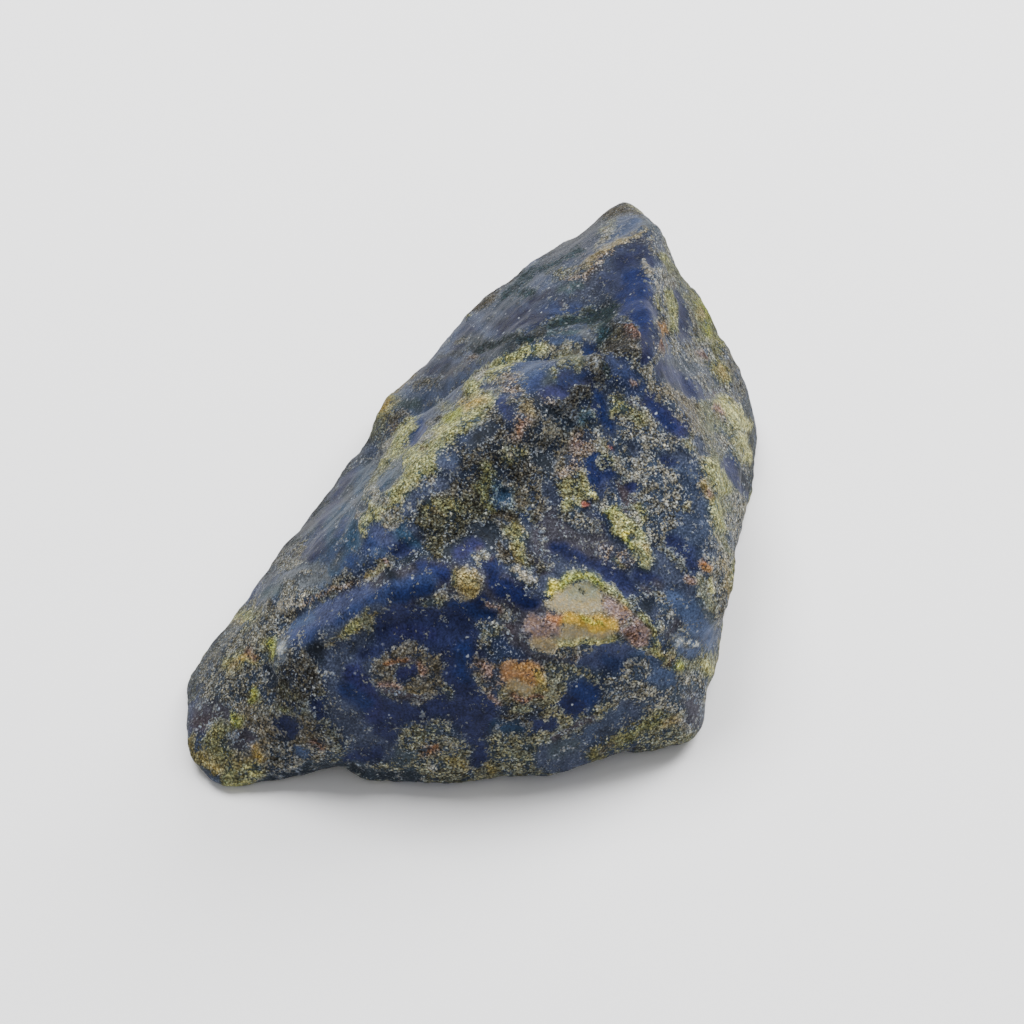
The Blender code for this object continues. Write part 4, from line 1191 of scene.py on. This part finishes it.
def make_rock_colour(tree, rock, patterns, settings):
    """The rock's own colour, mottled and softly speckled. Pale mineral flecks lie in it at random, and
    small painted glints, painted highlights in the flecks' colour, where the rock is grainy."""
    mottle = add_node(
        tree, "ShaderNodeTexNoise", noise_values("mottle"), {"Vector": patterns["bent"]}
    ).outputs["Fac"]
    tone = add_node(tree, "ShaderNodeMapRange", range_values("mottle"), {0: mottle}).outputs[0]
    soft = add_node(
        tree, "ShaderNodeMapRange", range_values("soft speckle"), {0: patterns["speck"]}
    ).outputs[0]
    tone = add_node(tree, "ShaderNodeMath", None, {0: tone, 1: soft}, operation="MULTIPLY").outputs[0]
    colour = add_node(
        tree, "ShaderNodeVectorMath", None, {0: rock["Color"], "Scale": tone}, operation="SCALE"
    ).outputs[0]

    cells = add_node(
        tree, "ShaderNodeTexVoronoi", {"Scale": 1 / FLECK_SPACING}, {"Vector": patterns["bent"]}
    ).outputs
    luck = add_node(tree, "ShaderNodeSeparateColor", None, {0: cells["Color"]}).outputs[0]
    luck = add_node(tree, "ShaderNodeMath", {1: FLECK_RARITY}, {0: luck}, operation="POWER").outputs[0]
    fleck = add_node(tree, "ShaderNodeMapRange", range_values("fleck"), {0: cells["Distance"]}).outputs[0]
    fleck = add_node(tree, "ShaderNodeMath", None, {0: fleck, 1: luck}, operation="MULTIPLY").outputs[0]
    # Painted highlights: glints where the speck noise is high, in the flecks' colour.
    glint = add_node(tree, "ShaderNodeMapRange", range_values("glint"), {0: patterns["speck"]}).outputs[0]
    grainy = add_node(tree, "ShaderNodeMapRange", range_values("grainy rock"), {0: rock["Alpha"]}).outputs[0]
    fleck = add_node(
        tree, "ShaderNodeMath", None, {0: glint, 1: grainy, 2: fleck}, operation="MULTIPLY_ADD"
    ).outputs[0]
    return add_node(
        tree, "ShaderNodeMix", {7: (*settings.fleck_and_glint_colour, 1.0)}, {0: fleck, 6: colour}, data_type="RGBA"
    ).outputs[2]


def make_bump(tree, grain, covered, patterns):
    """The small relief: grains domed over their gaps and standing off the rock at the crust's edge,
    with ragged noise and specks everywhere."""
    height = add_node(
        tree, "ShaderNodeMapRange", range_values("dome"), {0: patterns["grains"]["Distance"]}
    ).outputs[0]
    for part in (patterns["bright"], grain):
        height = add_node(tree, "ShaderNodeMath", None, {0: height, 1: part}, operation="MULTIPLY").outputs[0]
    height = add_node(tree, "ShaderNodeMath", {1: CRUST_EDGE}, {0: height}, operation="ADD").outputs[0]
    height = add_node(tree, "ShaderNodeMath", None, {0: height, 1: covered}, operation="MULTIPLY").outputs[0]
    for part, rise in ((patterns["ragged"], RAGGED_HEIGHT), (patterns["speck"], SPECK_HEIGHT)):
        height = add_node(
            tree, "ShaderNodeMath", {1: rise}, {0: part, 2: height}, operation="MULTIPLY_ADD"
        ).outputs[0]
    return add_node(
        tree, "ShaderNodeBump", {"Strength": BUMP_STRENGTH, "Distance": MM}, {"Height": height}
    ).outputs[0]


def make_stone_material(settings):
    """Lapis lazuli rock as it was broken and weathered: waxy dark blue lazurite, finely mottled and
    with pale flecks, under a dull crust of grains that are each lighter or darker, with dark gaps.
    Where the crust thins out, single grains of it lie on the bare rock.

    The mesh's "crust" holds the crust's colour and coverage, and its "rock" the rock's colour and how
    grainy it is.
    """
    material, tree, shader = new_material("broken_lapis_lazuli_with_grainy_crust")
    crust = add_node(tree, "ShaderNodeAttribute", attribute_name="crust").outputs
    rock = add_node(tree, "ShaderNodeAttribute", attribute_name="rock").outputs
    patterns = make_patterns(tree, settings)
    covered = make_cover(tree, crust, patterns)
    crust_colour = make_crust_colour(tree, crust, rock["Alpha"], patterns)
    rock_colour = make_rock_colour(tree, rock, patterns, settings)
    colour = add_node(
        tree, "ShaderNodeMix", None, {0: covered, 6: rock_colour, 7: crust_colour}, data_type="RGBA"
    ).outputs[2]
    roughness = add_node(tree, "ShaderNodeMapRange", range_values("roughness"), {0: covered}).outputs[0]
    tree.links.new(colour, shader.inputs["Base Color"])
    tree.links.new(roughness, shader.inputs["Roughness"])
    tree.links.new(make_bump(tree, rock["Alpha"], covered, patterns), shader.inputs["Normal"])
    shader.inputs["IOR"].default_value = 1.5
    shader.inputs["Specular IOR Level"].default_value = 0.08
    shader.inputs["Metallic"].default_value = 0.0
    return material


def make_card_material(settings):
    """Matt white card: pale, with the faintest mottling of its fibres."""
    material, tree, shader = new_material("matt_white_card")
    place = add_node(tree, "ShaderNodeTexCoord").outputs["Object"]
    mm = add_node(
        tree, "ShaderNodeVectorMath", {1: (1 / MM,) * 3}, {0: place}, operation="MULTIPLY"
    ).outputs[0]
    fibres = add_node(
        tree, "ShaderNodeTexNoise", noise_values("card fibres"), {"Vector": mm}
    ).outputs["Fac"]
    level = add_node(tree, "ShaderNodeMapRange", range_values("card level"), {0: fibres}).outputs[0]
    colour = add_node(
        tree, "ShaderNodeVectorMath", {0: tuple(settings.floor_colour)}, {"Scale": level}, operation="SCALE"
    ).outputs[0]
    tree.links.new(colour, shader.inputs["Base Color"])
    shader.inputs["Roughness"].default_value = 0.9
    return material


# ----------------------------------------------------------------------------------- the add-on


class LapisSettings(bpy.types.PropertyGroup):
    """Sizes and colours of the stone and its stage."""

    grain_width: bpy.props.FloatProperty(
        name="Grain width", description="Width of one grain of the crust",
        default=0.15 * MM, min=0.1 * MM, unit="LENGTH",
    )
    # The flecks' colour is also the colour of the painted glints on the rock.
    fleck_and_glint_colour: bpy.props.FloatVectorProperty(
        name="Fleck colour", description="Colour of the pale mineral flecks in the blue rock",
        subtype="COLOR", default=tuple(linear("#b9c0c8")), min=0.0, max=1.0,
    )
    floor_colour: bpy.props.FloatVectorProperty(
        name="Floor colour", description="Colour of the card that the stone lies on",
        subtype="COLOR", default=tuple(linear("#fdfdfe")), min=0.0, max=1.0,
    )
    floor_size: bpy.props.FloatProperty(
        name="Floor size", description="Width of the card", default=4.0, min=0.5, unit="LENGTH"
    )
    light_power: bpy.props.FloatProperty(
        name="Studio light", description="Power of the softboxes together",
        default=10.8, min=0.0, unit="POWER",
    )
    fill_strength: bpy.props.FloatProperty(
        name="Fill light", description="Strength of the even light from all around",
        default=0.43, min=0.0,
    )


class LAPIS_OT_stone(bpy.types.Operator):
    """Builds the stone with its crust in place of the plain solid"""

    bl_idname = "lapis.stone"
    bl_label = "Stone"

    def execute(self, context):
        stone = bpy.data.objects.new("lapis_rock", make_stone_mesh("lapis_rock"))
        context.scene.collection.objects.link(stone)
        stone.data.materials.append(make_stone_material(context.scene.lapis))
        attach(stone, "root")
        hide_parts(STONE_NODE)
        return {"FINISHED"}


def make_floor(settings):
    """A level card: a grid of two parameters across the floor's size, at z = 0."""
    side = np.linspace(-0.5, 0.5, CARD_LINES) * settings.floor_size
    x, y = np.meshgrid(side, side, indexing="ij")
    points = np.stack([x, y, np.zeros_like(x)], axis=-1).reshape(-1, 3)
    number = np.arange(x.size).reshape(x.shape)
    corners = [number[:-1, :-1], number[1:, :-1], number[1:, 1:], number[:-1, 1:]]
    mesh = bpy.data.meshes.new("card")
    mesh.from_pydata(points, [], np.stack(corners, axis=-1).reshape(-1, 4))
    floor = bpy.data.objects.new("card", mesh)
    floor.data.materials.append(make_card_material(settings))
    return floor


def aim(thing, place, target):
    """Puts a light or camera at a place and turns it towards the target, both in millimetres."""
    direction = Vector(target) - Vector(place)
    thing.location = Vector(place) * MM
    thing.rotation_euler = direction.to_track_quat("-Z", "Y").to_euler()


# The softboxes: the compass turn from straight beyond the stone towards the camera's right, the
# height over the horizon, both in degrees, and the share of the light's power. Their size, how far
# away they are and the place that they light are in millimetres.
SOFTBOXES = {
    "high_left_softbox": (-30.0, 62.0, 0.41),
    "high_right_softbox": (30.0, 62.0, 0.19),
    "low_right_softbox": (45.0, 35.0, 0.40),
}
SOFTBOX_SIZE = 300.0
SOFTBOX_DISTANCE = 600.0
LIGHT_TARGET = (0.0, 0.0, 5.0)


def view_direction(side, rise):
    """The direction turned to a side from straight away from the camera, and raised over the level."""
    right, _, _ = camera_axes()
    away = np.cross((0.0, 0.0, 1.0), right)
    turn, height = math.radians(side), math.radians(rise)
    level = away * math.cos(turn) + right * math.sin(turn)
    return level * math.cos(height) + np.array((0.0, 0.0, math.sin(height)))


class LAPIS_OT_stage(bpy.types.Operator):
    """Sets the pale floor, the soft studio light and the camera"""

    bl_idname = "lapis.stage"
    bl_label = "Stage"

    def execute(self, context):
        scene = context.scene
        settings = scene.lapis
        floor = make_floor(settings)
        scene.collection.objects.link(floor)

        _, _, back = camera_axes()
        camera = bpy.data.objects.new("camera", bpy.data.cameras.new("camera"))
        camera.data.lens = CAMERA_LENS
        camera.data.sensor_width = CAMERA_SENSOR
        camera.data.clip_start = CAMERA_NEAREST
        scene.collection.objects.link(camera)
        aim(camera, np.array(CAMERA_TARGET) + back * CAMERA_DISTANCE, CAMERA_TARGET)
        scene.camera = camera

        for name, (side, rise, share) in SOFTBOXES.items():
            light = bpy.data.lights.new(name, "AREA")
            light.shape = "DISK"
            light.size = SOFTBOX_SIZE * MM
            light.energy = settings.light_power * share
            softbox = bpy.data.objects.new(name, light)
            scene.collection.objects.link(softbox)
            aim(softbox, view_direction(side, rise) * SOFTBOX_DISTANCE, LIGHT_TARGET)

        world = bpy.data.worlds.new("soft_fill")
        world.use_nodes = True
        background = world.node_tree.nodes["Background"]
        background.inputs["Color"].default_value = (1.0, 1.0, 1.0, 1.0)
        background.inputs["Strength"].default_value = settings.fill_strength
        scene.world = world
        return {"FINISHED"}


class LAPIS_PT_panel(bpy.types.Panel):
    """Lists the stone, its stage and their settings"""

    bl_label = "Rough Lapis Lazuli"
    bl_idname = "LAPIS_PT_panel"
    bl_space_type = "VIEW_3D"
    bl_region_type = "UI"
    bl_category = "Lapis"

    def draw(self, context):
        for setting in LapisSettings.__annotations__:
            self.layout.prop(context.scene.lapis, setting)
        self.layout.operator(LAPIS_OT_stone.bl_idname)
        self.layout.operator(LAPIS_OT_stage.bl_idname)


CLASSES = (LapisSettings, LAPIS_OT_stone, LAPIS_OT_stage, LAPIS_PT_panel)


def register():
    for cls in CLASSES:
        bpy.utils.register_class(cls)
    bpy.types.Scene.lapis = bpy.props.PointerProperty(type=LapisSettings)


def unregister():
    del bpy.types.Scene.lapis
    for cls in reversed(CLASSES):
        bpy.utils.unregister_class(cls)


def main():
    register()
    bpy.ops.lapis.stone()
    bpy.ops.lapis.stage()


if __name__ == "__main__":
    main()
